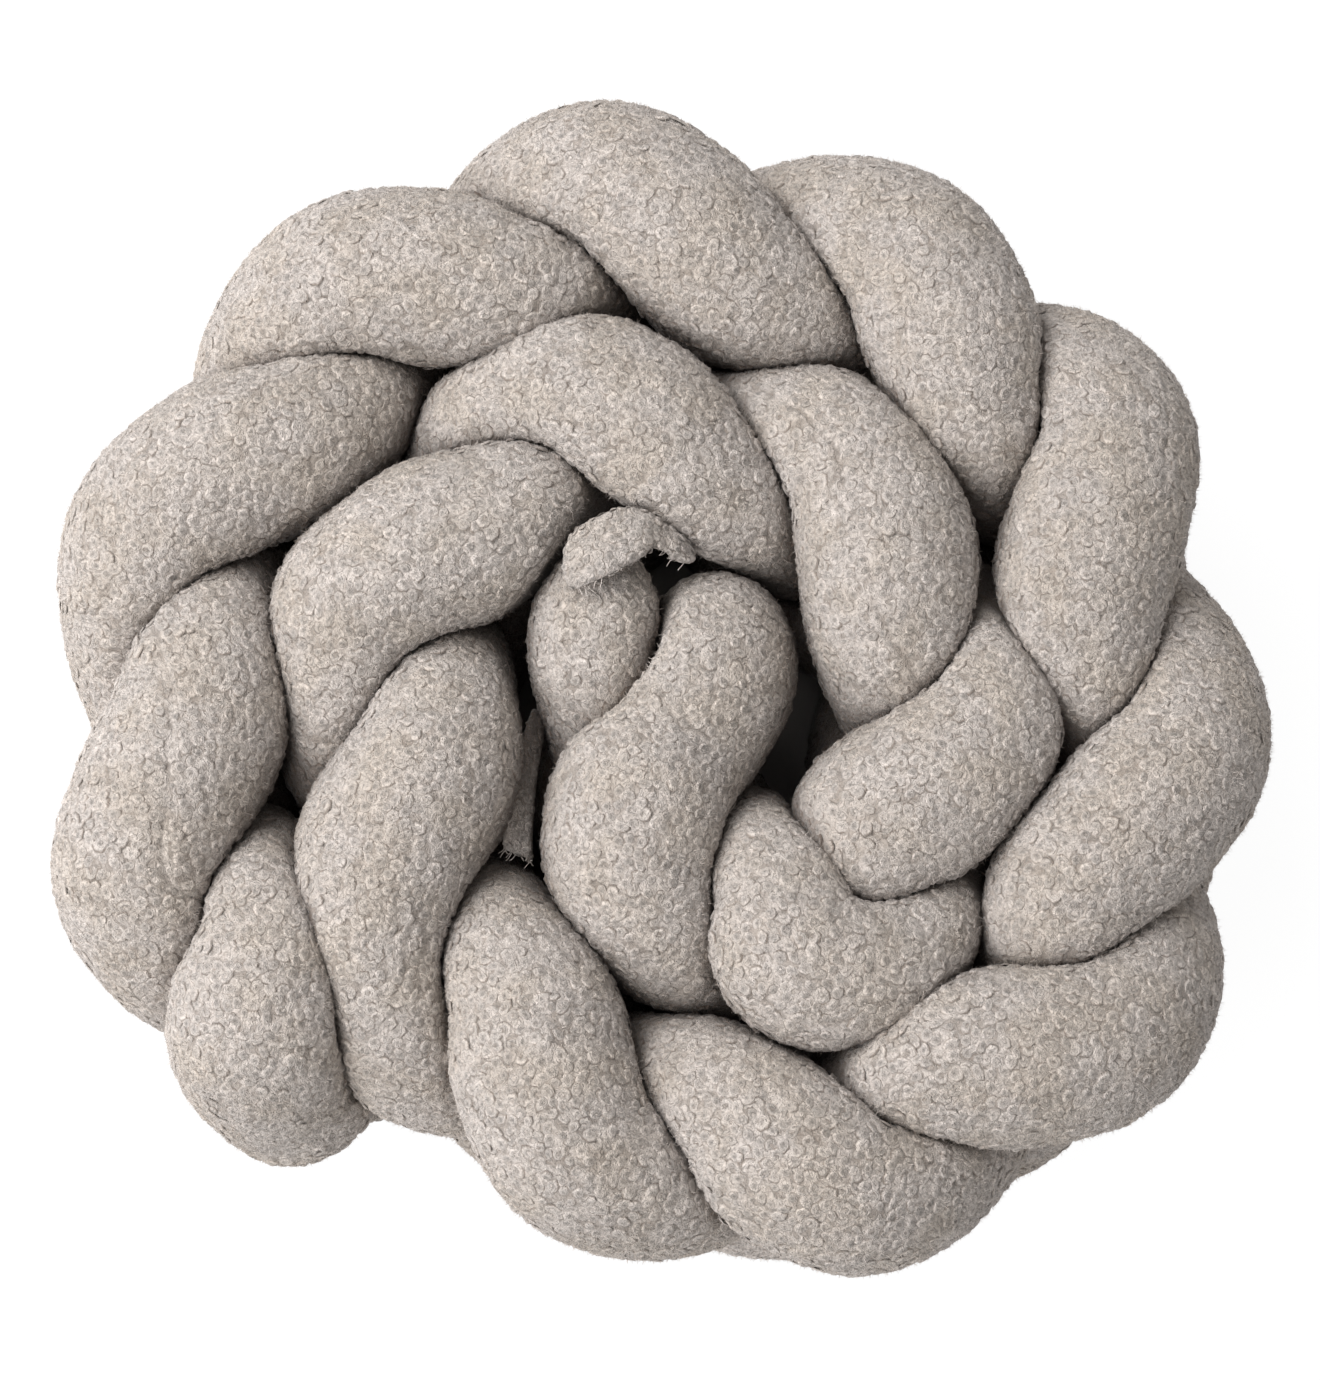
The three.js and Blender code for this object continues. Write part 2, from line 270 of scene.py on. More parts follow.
@dataclass(frozen=True)
class Plait:
    """The three-strand plait that the tubes follow, standing on its edge."""

    strands: int = 3
    middle: float = 79 * MM
    rise: float = 46 * MM
    swing: float = 16 * MM
    top_swing: float = 5 * MM
    lean: float = 5 * MM
    lead_step: float = 0.25

    def centres(self, tube: int, lobes: Array) -> Array:
        """Gives centres of a tube inside the plait.

        Args:
            tube: The tube's number, from 0.
            lobes: Where along the plait, counted in lobes.

        Returns:
            One point for each of them.
        """
        plan = SmoothLine(np.array(LOBES)[:, :2] * MM)
        nudge = 1e-4
        along = unit(plan.at(lobes + nudge) - plan.at(lobes - nudge))
        outward = np.stack([-along[:, 1], along[:, 0]], axis=1)
        phase = 2 * np.pi * (lobes - tube) / self.strands + np.pi / 2
        swing = self.swing + self.top_swing * np.sin(phase)
        sideways = swing * np.sin(2 * phase) + self.lean * (np.sin(phase) - 1) / 2
        level = plan.at(lobes) + sideways[:, None] * outward
        line = np.column_stack([level, self.middle + self.rise * np.sin(phase)])
        for lay in (lay for lay in LAYS if lay.tube == tube):
            near = np.exp(-(((lobes - lay.lobe) / lay.spread) ** 2))
            line += near[:, None] * np.array([lay.x, lay.y, lay.z]) * MM
        return line

    def tube_line(self, tube: int, spacing: float) -> TubeLine:
        """Draws a tube's centre line from tip to tip.

        Args:
            tube: The tube's number, from 0.
            spacing: About how far apart its points should be.

        Returns:
            The line.
        """
        end = TUBE_ENDS[tube]
        lobes = np.arange(0, end.last_lobe + self.lead_step / 2, self.lead_step)
        lead_in, lead_out = (np.array(places) * MM for places in (end.lead_in, end.lead_out))
        line = SmoothLine(np.vstack([lead_in, self.centres(tube, lobes), lead_out]))
        counted = np.arange(-len(lead_in), len(lobes) + len(lead_out)) * self.lead_step
        runs, steps = line.even_steps(spacing)
        return TubeLine(tube, line.at(steps), runs, np.interp(steps, np.arange(len(counted)), counted))


# ---- meshes


def grid_faces(rows: int, columns: int, wraps: bool) -> Faces:
    """Numbers the quads of a grid of points kept row by row.

    Args:
        rows: How many rows of points.
        columns: How many points in a row.
        wraps: Whether each row closes on itself.

    Returns:
        The quads, each with its corners in order.
    """
    faces = []
    for row in range(rows - 1):
        for column in range(columns if wraps else columns - 1):
            here, beside = (row * columns + c % columns for c in (column, column + 1))
            faces.append((here, beside, beside + columns, here + columns))
    return faces


def joined(parts: Sequence[tuple[Array, Faces]]) -> tuple[Array, Faces]:
    """Puts the points and faces of several meshes together.

    Args:
        parts: The points and the faces of each.

    Returns:
        All the points, and the faces renumbered to go with them.
    """
    faces: Faces = []
    first = 0
    for points, own in parts:
        faces += [tuple(first + corner for corner in face) for face in own]
        first += len(points)
    return np.vstack([points for points, _ in parts]), faces


def in_scene(name: str, data: bpy.types.ID) -> Piece:
    """Puts a mesh, a lamp or a camera into the scene, at the origin.

    Args:
        name: The object's name.
        data: The mesh, or the lamp's or camera's settings.

    Returns:
        The object.
    """
    made = bpy.data.objects.new(name, data)
    bpy.context.scene.collection.objects.link(made)
    return made


def new_object(name: str, points: Array, faces: Faces) -> Piece:
    """Makes a smooth-shaded mesh object at the origin.

    Args:
        name: The object's name.
        points: Its points.
        faces: Its faces, as numbers of points.

    Returns:
        The object, linked to the scene.
    """
    mesh = bpy.data.meshes.new(name)
    mesh.from_pydata(points.tolist(), [], faces)
    mesh.shade_smooth()
    return in_scene(name, mesh)


def turn_outward(piece: Piece) -> None:
    """Turns the faces of a closed mesh outward if they face inward.

    Args:
        piece: The piece with the mesh.
    """
    shape = bmesh.new()
    shape.from_mesh(piece.data)
    inward = shape.calc_volume(signed=True) < 0
    shape.free()
    if inward:
        piece.data.flip_normals()


def keep(piece: Piece, domain: str = "POINT", **layers: Array | float) -> None:
    """Stores values in a mesh.

    Args:
        piece: The piece with the mesh.
        domain: POINT for a value at each point, CORNER for one at each corner of its faces.
        layers: The values by the names that they go under: a number or a place for each, or one
            number for all the points.
    """
    for name, values in layers.items():
        held = np.array(values, np.float32)
        if held.ndim == 0:
            held = np.full(len(piece.data.vertices), held)
        kind, key = ("FLOAT", "value") if held.ndim == 1 else ("FLOAT_VECTOR", "vector")
        piece.data.attributes.new(name, kind, domain).data.foreach_set(key, held.ravel())


def smoothed(grid: Array, steps: tuple[float, float]) -> Array:
    """Blurs a grid whose rows close on themselves.

    Args:
        grid: Its values.
        steps: How wide the blur is, in rows and in columns.

    Returns:
        The blurred values.
    """
    for axis, (width, edge) in enumerate(zip(steps, ("edge", "wrap"))):
        reach = math.ceil(3 * width)
        kernel = np.exp(-0.5 * (np.arange(-reach, reach + 1) / width) ** 2)
        room = [(0, 0), (0, 0)]
        room[axis] = (reach, reach)
        held = np.pad(grid, room, mode=edge)
        grid = np.apply_along_axis(np.convolve, axis, held, kernel / kernel.sum(), "valid")
    return grid


# ---- node trees


class Nodes:
    """A tree of nodes under construction."""

    def __init__(self, tree: bpy.types.NodeTree) -> None:
        """Takes up a tree and empties it."""
        self.tree = tree
        self.tree.nodes.clear()

    def plug(self, socket: Socket, value: object) -> None:
        """Feeds an input.

        Args:
            socket: The input.
            value: Another node's output to link to it, or a value of its own.
        """
        if isinstance(value, Socket):
            self.tree.links.new(value, socket)
        elif socket.type == "RGBA":
            socket.default_value = (*value, 1.0)
        else:
            socket.default_value = value

    def node(self, kind: str, inputs: dict | None = None, **settings: object) -> bpy.types.Node:
        """Adds a node.

        Args:
            kind: The node's type.
            inputs: Values or sockets for its inputs, by name or number.
            settings: Values of its own properties.

        Returns:
            The node.
        """
        made = self.tree.nodes.new(kind)
        for name, value in settings.items():
            setattr(made, name, value)
        for name, value in (inputs or {}).items():
            self.plug(made.inputs[name], value)
        return made

    def math(self, operation: str, *values: object) -> Socket:
        """Works out a number from one, two or three others."""
        return self.node("ShaderNodeMath", dict(enumerate(values)), operation=operation).outputs[0]

    def vector(self, operation: str, *values: object) -> Socket:
        """Works out a vector, or a length, from one, two or three vectors."""
        made = self.node("ShaderNodeVectorMath", dict(enumerate(values)), operation=operation)
        return made.outputs["Value" if operation == "LENGTH" else "Vector"]

    def scaled(self, vector: Socket, share: Socket) -> Socket:
        """Makes a vector longer or shorter."""
        return self.node("ShaderNodeVectorMath", {0: vector, "Scale": share}, operation="SCALE").outputs[0]


class Shaper(Nodes):
    """A Geometry Nodes tree under construction, and the way to run it on a piece."""

    def __init__(self, name: str, **kinds: str) -> None:
        """Starts a tree with a geometry going in and one coming out.

        Args:
            name: The tree's name.
            kinds: The kind of each other input, such as Float or Material, by its name.
        """
        super().__init__(bpy.data.node_groups.new(name, "GeometryNodeTree"))
        new_socket = self.tree.interface.new_socket
        for way in ("INPUT", "OUTPUT"):
            new_socket("Geometry", in_out=way, socket_type="NodeSocketGeometry")
        for label, kind in kinds.items():
            new_socket(label, in_out="INPUT", socket_type=f"NodeSocket{kind}")
        self.given = self.node("NodeGroupInput").outputs

    def named(self, name: str) -> Socket:
        """Reads a number stored in the mesh under a name."""
        return self.node("GeometryNodeInputNamedAttribute", {"Name": name}).outputs["Attribute"]

    def chance(self, low: object, high: object, seed: int, kind: str = "FLOAT") -> Socket:
        """Draws a random value for each element.

        Args:
            low: The least value.
            high: The greatest value.
            seed: The draw's own seed.
            kind: FLOAT, INT or FLOAT_VECTOR.

        Returns:
            The socket with the value.
        """
        made = self.node("FunctionNodeRandomValue", data_type=kind)
        live = {socket.name: socket for socket in made.inputs if socket.enabled}
        for name, value in (("Min", low), ("Max", high), ("Seed", seed)):
            self.plug(live[name], value)
        return next(socket for socket in made.outputs if socket.enabled)

    def finish(self, geometry: Socket, material: Socket) -> None:
        """Ends the tree: instances are made real and the material is set.

        Args:
            geometry: What the tree has made.
            material: Its finish.
        """
        real = self.node("GeometryNodeRealizeInstances", {"Geometry": geometry}).outputs[0]
        dressed = self.node("GeometryNodeSetMaterial", {"Geometry": real, "Material": material})
        self.node("NodeGroupOutput", {0: dressed.outputs[0]})

    def run(self, source: Piece, name: str, **values: object) -> Piece:
        """Runs the tree on a piece and keeps the result as a plain mesh.

        Args:
            source: The piece that the tree starts from.
            name: The new piece's name.
            values: Values of the tree's other inputs.

        Returns:
            The new piece, with no modifier on it.
        """
        modifier = source.modifiers.new("shaper", "NODES")
        modifier.node_group = self.tree
        items = self.tree.interface.items_tree
        sockets = {item.name: item.identifier for item in items if item.in_out == "INPUT"}
        for label, value in values.items():
            modifier[sockets[label]] = value
        source.update_tag()
        graph = bpy.context.evaluated_depsgraph_get()
        settled = source.evaluated_get(graph)
        mesh = bpy.data.meshes.new_from_object(settled, preserve_all_data_layers=True, depsgraph=graph)
        source.modifiers.remove(modifier)
        mesh.name = name
        mesh.shade_smooth()
        return in_scene(name, mesh)


# ---- finishes


class Paint(Nodes):
    """A material under construction."""

    def __init__(self, name: str) -> None:
        """Starts a material with an empty node tree."""
        self.material = bpy.data.materials.new(name)
        self.material.use_nodes = True
        super().__init__(self.material.node_tree)

    def object_place(self) -> Socket:
        """The place on the object, in metres."""
        return self.node("ShaderNodeTexCoord").outputs["Object"]

    def stored(self, name: str, kind: str = "Fac") -> Socket:
        """A value stored in the mesh under a name, as Fac or as Vector."""
        return self.node("ShaderNodeAttribute", attribute_name=name).outputs[kind]

    def noise(self, size: float, detail: float, kind: str = "Fac") -> Socket:
        """Smooth random values from 0 to 1, as Fac or as Color, with features of a size in metres."""
        inputs = {"Vector": self.object_place(), "Scale": 1 / size, "Detail": detail}
        return self.node("ShaderNodeTexNoise", inputs).outputs[kind]

    def curve(self, value: Socket, points: Curve) -> Socket:
        """Reshapes a value along a smooth curve.

        Args:
            value: The value, from 0 to 1.
            points: Places on the curve, from 0 to 1 both ways.

        Returns:
            The reshaped value.
        """
        made = self.node("ShaderNodeFloatCurve", {"Value": value})
        knots = made.mapping.curves[0].points
        while len(knots) < len(points):
            knots.new(0.5, 0.5)
        for knot, place in zip(knots, points):
            knot.location = place
        made.mapping.update()
        return made.outputs["Value"]

    def blend(self, share: object, low: object, high: object) -> Socket:
        """Mixes two colours.

        Args:
            share: How much of the second colour there is, from 0 to 1.
            low: The first colour.
            high: The second colour.

        Returns:
            The mixed colour.
        """
        made = self.node("ShaderNodeMix", data_type="RGBA")
        inputs = {item.identifier: item for item in made.inputs}
        for name, value in (("Factor_Float", share), ("A_Color", low), ("B_Color", high)):
            self.plug(inputs[name], value)
        return next(item for item in made.outputs if item.identifier == "Result_Color")

    def finish(self, surface: Socket) -> Material:
        """Connects the surface and gives the material back."""
        self.node("ShaderNodeOutputMaterial", {"Surface": surface})
        return self.material


def from_srgb(red: int, green: int, blue: int) -> Colour:
    """Turns a screen colour, 0 to 255, into the linear one that shaders take."""
    shares = (channel / 255 for channel in (red, green, blue))
    return tuple(s / 12.92 if s <= 0.04045 else ((s + 0.055) / 1.055) ** 2.4 for s in shares)


@dataclass(frozen=True)
class YarnFinish:
    """The boucle yarn: pale on its crowns, painted darker and tan as shade where it goes down into the
    cloth.

    Each curve turns a share into another one: patches says where the yarn is beige, air how little
    of the brown painted shade of the creases it takes on, ring how high a loop stands away from its
    eye, pale and streaks how light it is by that height and by its fibres, painting shade into the
    eyes, the cracks between loops and the grooves between fibres, and crest by how far it is out of
    the cloth, painting shade at the curls' roots.
    """

    crown: Colour = from_srgb(219, 209, 202)
    beige: Colour = from_srgb(214, 202, 191)
    # painted shade: the dark tan that the yarn is painted where it goes down into the cloth
    root: Colour = from_srgb(122, 109, 98)
    # painted shade: the brown that the yarn is painted where little open air reaches it
    painted_crevice_shade: Colour = from_srgb(88, 72, 60)
    fibre: float = 0.7 * MM
    fibre_detail: float = 2.0
    fibre_rough: float = 0.65
    whirl: float = 1.7
    own_fibres: float = 40.0
    wispy: float = 2.8
    deep: float = 0.7 * MM
    loop: float = 5.4 * MM
    loop_bend: float = 3 * MM
    curl: float = 7.8 * MM
    drift: float = 2.4 * MM
    drift_size: float = 2.2 * MM
    patch: float = 26 * MM
    patch_detail: float = 1.5
    tint_range: float = 0.16
    roughness: float = 0.95
    sheen: float = 0.25
    sheen_rough: float = 0.5
    patches: Curve = ((0.0, 0.0), (0.36, 0.0), (0.7, 1.0), (1.0, 1.0))
    air: Curve = ((0.0, 0.0), (0.2, 0.18), (0.45, 0.68), (0.65, 0.93), (0.85, 1.0))
    ring: Curve = (
        (0.0, 0.3), (0.08, 0.4), (0.19, 0.85), (0.3, 1.0), (0.44, 0.85), (0.55, 0.55), (0.66, 0.25),
        (1.0, 0.1),
    )
    pale: Curve = ((0.0, 0.3), (0.3, 0.65), (0.6, 0.9), (1.0, 1.0))
    streaks: Curve = ((0.0, 0.15), (0.32, 0.5), (0.44, 0.86), (0.56, 1.0), (1.0, 1.0))
    crest: Curve = ((0.0, 0.15), (0.35, 0.4), (0.6, 0.9), (0.75, 1.0), (1.0, 1.0))

    def base_colour(self, paint: Paint, height: Socket) -> Socket:
        """Colours the yarn, painting shade by how low it stands and by how little air reaches it.

        Args:
            paint: The material under construction.
            height: 0 at the yarn's root and 1 on its crown; the lower it is, the more painted shade.

        Returns:
            The colour.
        """
        patches = paint.curve(paint.noise(self.patch, self.patch_detail), self.patches)
        # painted shade: the lower the yarn stands, the nearer it is painted to the dark root colour
        yarn = paint.blend(height, self.root, paint.blend(patches, self.crown, self.beige))
        tint = paint.math("MULTIPLY_ADD", paint.stored("tint"), self.tint_range, 1 - self.tint_range / 2)
        shaded = paint.node("ShaderNodeHueSaturation", {"Value": tint, "Color": yarn}).outputs["Color"]
        # painted shade: the less open air a place sees, the nearer it is painted to the brown shade colour
        return paint.blend(paint.curve(paint.stored("open_air"), self.air), self.painted_crevice_shade, shaded)

    def wool(self, paint: Paint, around: Socket, size: float, seed: Socket, crest: object) -> Material:
        """Finishes looped yarn: a sunken eye painted dark as shade, a raised ring round it, and fibres that
        run round the eye.

        Args:
            paint: The material under construction.
            around: The way from its loop's eye to the place, in metres.
            size: How wide a loop is.
            seed: A value or colour of the loop's own.
            crest: How light the place is painted by how far it stands out of the cloth, from 0 to 1, as
                shade at the curls' roots.

        Returns:
            The material.
        """
        drift = paint.noise(self.drift_size, 0.0)
        drift = paint.math("MULTIPLY_ADD", drift, self.drift, -self.drift / 2)
        apart = paint.math("ADD", paint.vector("LENGTH", around), drift)
        loops = paint.curve(paint.math("MULTIPLY", apart, 1 / size), self.ring)
        outward = paint.node("ShaderNodeCombineXYZ", {"Z": paint.math("MULTIPLY", apart, 1 / self.fibre)})
        turned = paint.vector("NORMALIZE", around)
        strand = paint.vector("MULTIPLY_ADD", turned, (self.whirl,) * 3, outward.outputs[0])
        strand = paint.vector("MULTIPLY_ADD", seed, (self.own_fibres,) * 3, strand)
        fine = {"Vector": strand, "Scale": 1.0, "Detail": self.fibre_detail, "Roughness": self.fibre_rough}
        wisps = paint.node("ShaderNodeTexNoise", fine).outputs["Fac"]
        height = paint.math("MULTIPLY_ADD", wisps, self.wispy, loops)
        bump = paint.node("ShaderNodeBump", {"Height": height, "Strength": 1.0, "Distance": self.deep})
        # painted shade: the eyes, the cracks between loops and the grooves between fibres are painted
        # darker
        pale, streaks = paint.curve(loops, self.pale), paint.curve(wisps, self.streaks)
        painted_shading = paint.math("MULTIPLY", paint.math("MULTIPLY", pale, streaks), crest)
        surface = {
            "Base Color": self.base_colour(paint, painted_shading),
            "Roughness": self.roughness,
            "Sheen Weight": self.sheen,
            "Sheen Roughness": self.sheen_rough,
            "Normal": bump.outputs["Normal"],
        }
        return paint.finish(paint.node("ShaderNodeBsdfPrincipled", surface).outputs[0])

    def curls(self) -> Material:
        """Makes the finish of the curls that stand on the cloth.

        Returns:
            The material, which reads whorl, crest, tint and open_air.
        """
        paint = Paint("boucle_curls")
        # painted shade: each curl is painted darker towards its root
        crest = paint.curve(paint.stored("crest"), self.crest)
        return self.wool(paint, paint.stored("whorl", "Vector"), self.curl, paint.stored("tint"), crest)

    def ground(self) -> Material:
        """Makes the finish of the cloth between the curls, looped more tightly.

        Returns:
            The material, which reads lay and open_air.
        """
        paint = Paint("boucle_ground")
        bend = paint.noise(self.loop_bend, 0.0, "Color")
        bent = paint.vector("MULTIPLY_ADD", bend, (self.loop_bend,) * 3, paint.stored("lay", "Vector"))
        inputs = {"Vector": bent, "Scale": 1 / self.loop}
        cells = paint.node("ShaderNodeTexVoronoi", inputs, feature="F1", voronoi_dimensions="2D").outputs
        around = paint.vector("SUBTRACT", bent, cells["Position"])
        return self.wool(paint, around, self.loop, cells["Color"], 1.0)


# ---- curls, loose fibres and soft lumps


class Whorl(NamedTuple):
    """One way in which a loop of yarn lies curled: how deep its eye is, how oval, how uneven."""

    eye: float
    squash: float
    second: float
    third: float


class CurlKind(Enum):
    """The kinds of curl that cover the cloth, with depths in millimetres."""

    RING = Whorl(1.3, 1.0, 0.05, 0.04)
    BUTTON = Whorl(-0.1, 0.95, 0.07, 0.06)
    OVAL = Whorl(0.7, 0.78, 0.05, 0.08)
    KNOT = Whorl(0.0, 0.85, 0.12, 0.05)
    BEAN = Whorl(0.3, 0.72, 0.1, 0.12)
    ROSE = Whorl(1.0, 0.9, 0.08, 0.08)


@dataclass(frozen=True)
class CurlMaker:
    """Makes one small closed-over whorl for each kind of curl.

    A ring is a share of the radius and a height in millimetres, the lowest ring first.
    """

    radius: float = 4.3 * MM
    sides: int = 7
    rings: Curve = ((1.0, -0.7), (0.62, 0.65))
    tilt: float = 0.3

    def mesh(self, kind: CurlKind) -> Piece:
        """Shapes the whorl as rings of points round its eye.

        Args:
            kind: The kind of curl.

        Returns:
            An object at the origin, with crest and whorl stored on its points.
        """
        whorl = kind.value
        turn = 2 * np.pi * np.arange(self.sides) / self.sides
        phase = len(kind.name) + whorl.eye
        uneven = 1 + whorl.second * np.cos(2 * turn + phase) + whorl.third * np.cos(3 * turn + 2 * phase)
        points = []
        for share, height in self.rings:
            level = self.radius * share * uneven
            tilted = height + self.tilt * share * np.cos(turn + 3 * phase)
            across = (level * np.cos(turn), whorl.squash * level * np.sin(turn))
            points.append(np.column_stack([*across, tilted * MM]))
        bottom, top = self.rings[0][1], self.rings[-1][1]
        points = np.vstack([*points, [[0, 0, (top - whorl.eye) * MM]]])
        faces = grid_faces(len(self.rings), self.sides, True)
        inner = (len(self.rings) - 1) * self.sides
        faces += [(inner + s, inner + (s + 1) % self.sides, len(points) - 1) for s in range(self.sides)]
        made = new_object(f"curl_{kind.name.lower()}", points, faces)
        crest = (points[:, 2] - bottom * MM) / (top * MM - bottom * MM)
        keep(made, crest=np.clip(crest, 0, 1), whorl=points * [1, 1, 0])
        return made

    def kinds(self) -> list[Piece]:
        """Makes one curl of every kind."""
        return [self.mesh(kind) for kind in CurlKind]


@dataclass(frozen=True)
class FibreMaker:
    """Makes the loose fibres that stand out of the yarn, each a thin leaf of one face."""

    length: float = 2.1 * MM
    width: float = 0.32 * MM
    root: float = -0.2 * MM
    bends: tuple[float, ...] = (-0.5, 0.1, 0.8)

    def kinds(self) -> list[Piece]:
        """Makes one fibre for each bend.

        Returns:
            Objects at the origin, with crest and whorl stored on their points.
        """
        made = []
        for bend in self.bends:
            half, tip = self.width / 2, bend * self.length
            points = np.array([[-half, 0, self.root], [half, 0, self.root], [tip, tip, self.length]])
            made.append(new_object(f"fibre_{len(made)}", points, [(0, 1, 2)]))
            keep(made[-1], crest=1.0, whorl=np.full((3, 3), LOOSE_WHORL))
        return made


@dataclass
class Sower:
    """Sets small pieces on a cloth wherever the room stored on it is above nothing."""

    name: str
    sources: list[Piece]
    spacing: float
    least: tuple[float, float, float]
    most: tuple[float, float, float]
    lean: float
    room: str = "curl_room"
    tries: float = 6.0
    kinds: bpy.types.Collection = field(init=False)
    shaper: Shaper = field(init=False)

    def __post_init__(self) -> None:
        """Keeps the small pieces outside the scene, and builds the tree once for every cloth."""
        self.kinds = bpy.data.collections.new(self.name)
        for source in self.sources:
            bpy.context.scene.collection.objects.unlink(source)
            self.kinds.objects.link(source)
        self.shaper = self.tree()

    def tree(self) -> Shaper:
        """Builds the tree: each small piece gets a turn, a lean, a size and a tint by chance.

        Returns:
            The tree, ready to run on a cloth.
        """
        made = Shaper(
            self.name, spacing="Float", kinds="Collection", seed="Int", yarn="Material", size="Float"
        )
        where = {
            "Mesh": made.given["Geometry"],
            "Distance Min": made.given["spacing"],
            "Density Max": self.tries / self.spacing**2,
            "Density Factor": made.named(self.room),
            "Seed": made.given["seed"],
        }
        sown = made.node("GeometryNodeDistributePointsOnFaces", where, distribute_method="POISSON").outputs
        apart = {"Collection": made.given["kinds"], "Separate Children": True, "Reset Children": True}
        least, most = (-self.lean, -self.lean, 0.0), (self.lean, self.lean, math.tau)
        turning = {"Rotation": sown["Rotation"], "Rotate By": made.chance(least, most, 1, "FLOAT_VECTOR")}
        turned = made.node("FunctionNodeRotateRotation", turning, rotation_space="LOCAL").outputs[0]
        share = made.math("MULTIPLY", made.given["size"], made.named("curl_size"))
        set_out = {
            "Points": sown["Points"],
            "Instance": made.node("GeometryNodeCollectionInfo", apart).outputs[0],
            "Pick Instance": True,
            "Instance Index": made.chance(0, len(self.sources) - 1, 3, "INT"),
            "Rotation": turned,
            "Scale": made.scaled(made.chance(self.least, self.most, 2, "FLOAT_VECTOR"), share),
        }
        sprinkled = made.node("GeometryNodeInstanceOnPoints", set_out).outputs[0]
        tint = {"Geometry": sprinkled, "Name": "tint", "Value": made.chance(0.0, 1.0, 4)}
        tinted = made.node("GeometryNodeStoreNamedAttribute", tint, data_type="FLOAT", domain="INSTANCE")
        made.finish(tinted.outputs[0], made.given["yarn"])
        return made

    def sow(self, cloth: Piece, name: str, seed: int, yarn: Material, size: float = 1.0) -> Piece:
        """Covers a cloth with the small pieces.

        Args:
            cloth: The cloth, with its room stored on its points.
            name: The new piece's name.
            seed: The seed of the places where they stand.
            yarn: Their finish.
            size: Their size and that of the spaces between them, as a share of the usual one.

        Returns:
            All of them as one piece.
        """
        values = {"kinds": self.kinds, "seed": seed, "yarn": yarn, "size": size}
        return self.shaper.run(cloth, name, spacing=size * self.spacing, **values)

    def put_away(self) -> None:
        """Removes the small pieces that were only copied."""
        for source in self.sources:
            bpy.data.objects.remove(source)
        bpy.data.collections.remove(self.kinds)


def curl_sower() -> Sower:
    """Makes the sower of curls."""
    return Sower("sow_curls", CurlMaker().kinds(), 4.3 * MM, (0.6, 0.6, 0.5), (1.1, 1.1, 1.2), 0.22)


def fibre_sower() -> Sower:
    """Makes the sower of loose fibres."""
    least, most = (0.8, 0.8, 0.4), (1.2, 1.2, 1.2)
    return Sower("sow_fibres", FibreMaker().kinds(), 1.15 * MM, least, most, 1.1, "open_air")


@dataclass
class Relief:
    """Lifts and sinks a cloth along its normals, so that it is softly lumpy under its curls."""

    detail: float = 1.5
    level: float = 0.55
    shaper: Shaper = field(init=False)

    def __post_init__(self) -> None:
        """Builds the tree once for every cloth."""
        made = Shaper("cloth_relief", lump="Float", height="Float", cloth="Material")
        fine = {"Scale": made.math("DIVIDE", 1.0, made.given["lump"]), "Detail": self.detail}
        noise = made.node("ShaderNodeTexNoise", fine).outputs["Fac"]
        lift = made.math("MULTIPLY", made.math("SUBTRACT", noise, self.level), made.given["height"])
        allowed = made.math("MULTIPLY", lift, made.named("curl_room"))
        offset = made.scaled(made.node("GeometryNodeInputNormal").outputs[0], allowed)
        moved = {"Geometry": made.given["Geometry"], "Offset": offset}
        made.finish(made.node("GeometryNodeSetPosition", moved).outputs[0], made.given["cloth"])
        self.shaper = made

    def lift(self, plain: Piece, name: str, lump: float, height: float, cloth: Material) -> Piece:
        """Makes the lumpy cloth, and removes the plain one.

        Args:
            plain: The plain cloth, with curl_room stored where it may be lifted.
            name: The new piece's name.
            lump: How wide the lumps are.
            height: How high the highest would stand above the lowest.
            cloth: The finish.

        Returns:
            The new piece.
        """
        made = self.shaper.run(plain, name, lump=lump, height=height, cloth=cloth)
        bpy.data.objects.remove(plain)
        return made


# ---- thin cloth


class RawEdge(Enum):
    """Which edge of a sheet is left raw: its grid's axis, the outmost row there and the next."""

    SIDE = (1, 0, 1)
    END = (0, -1, -2)


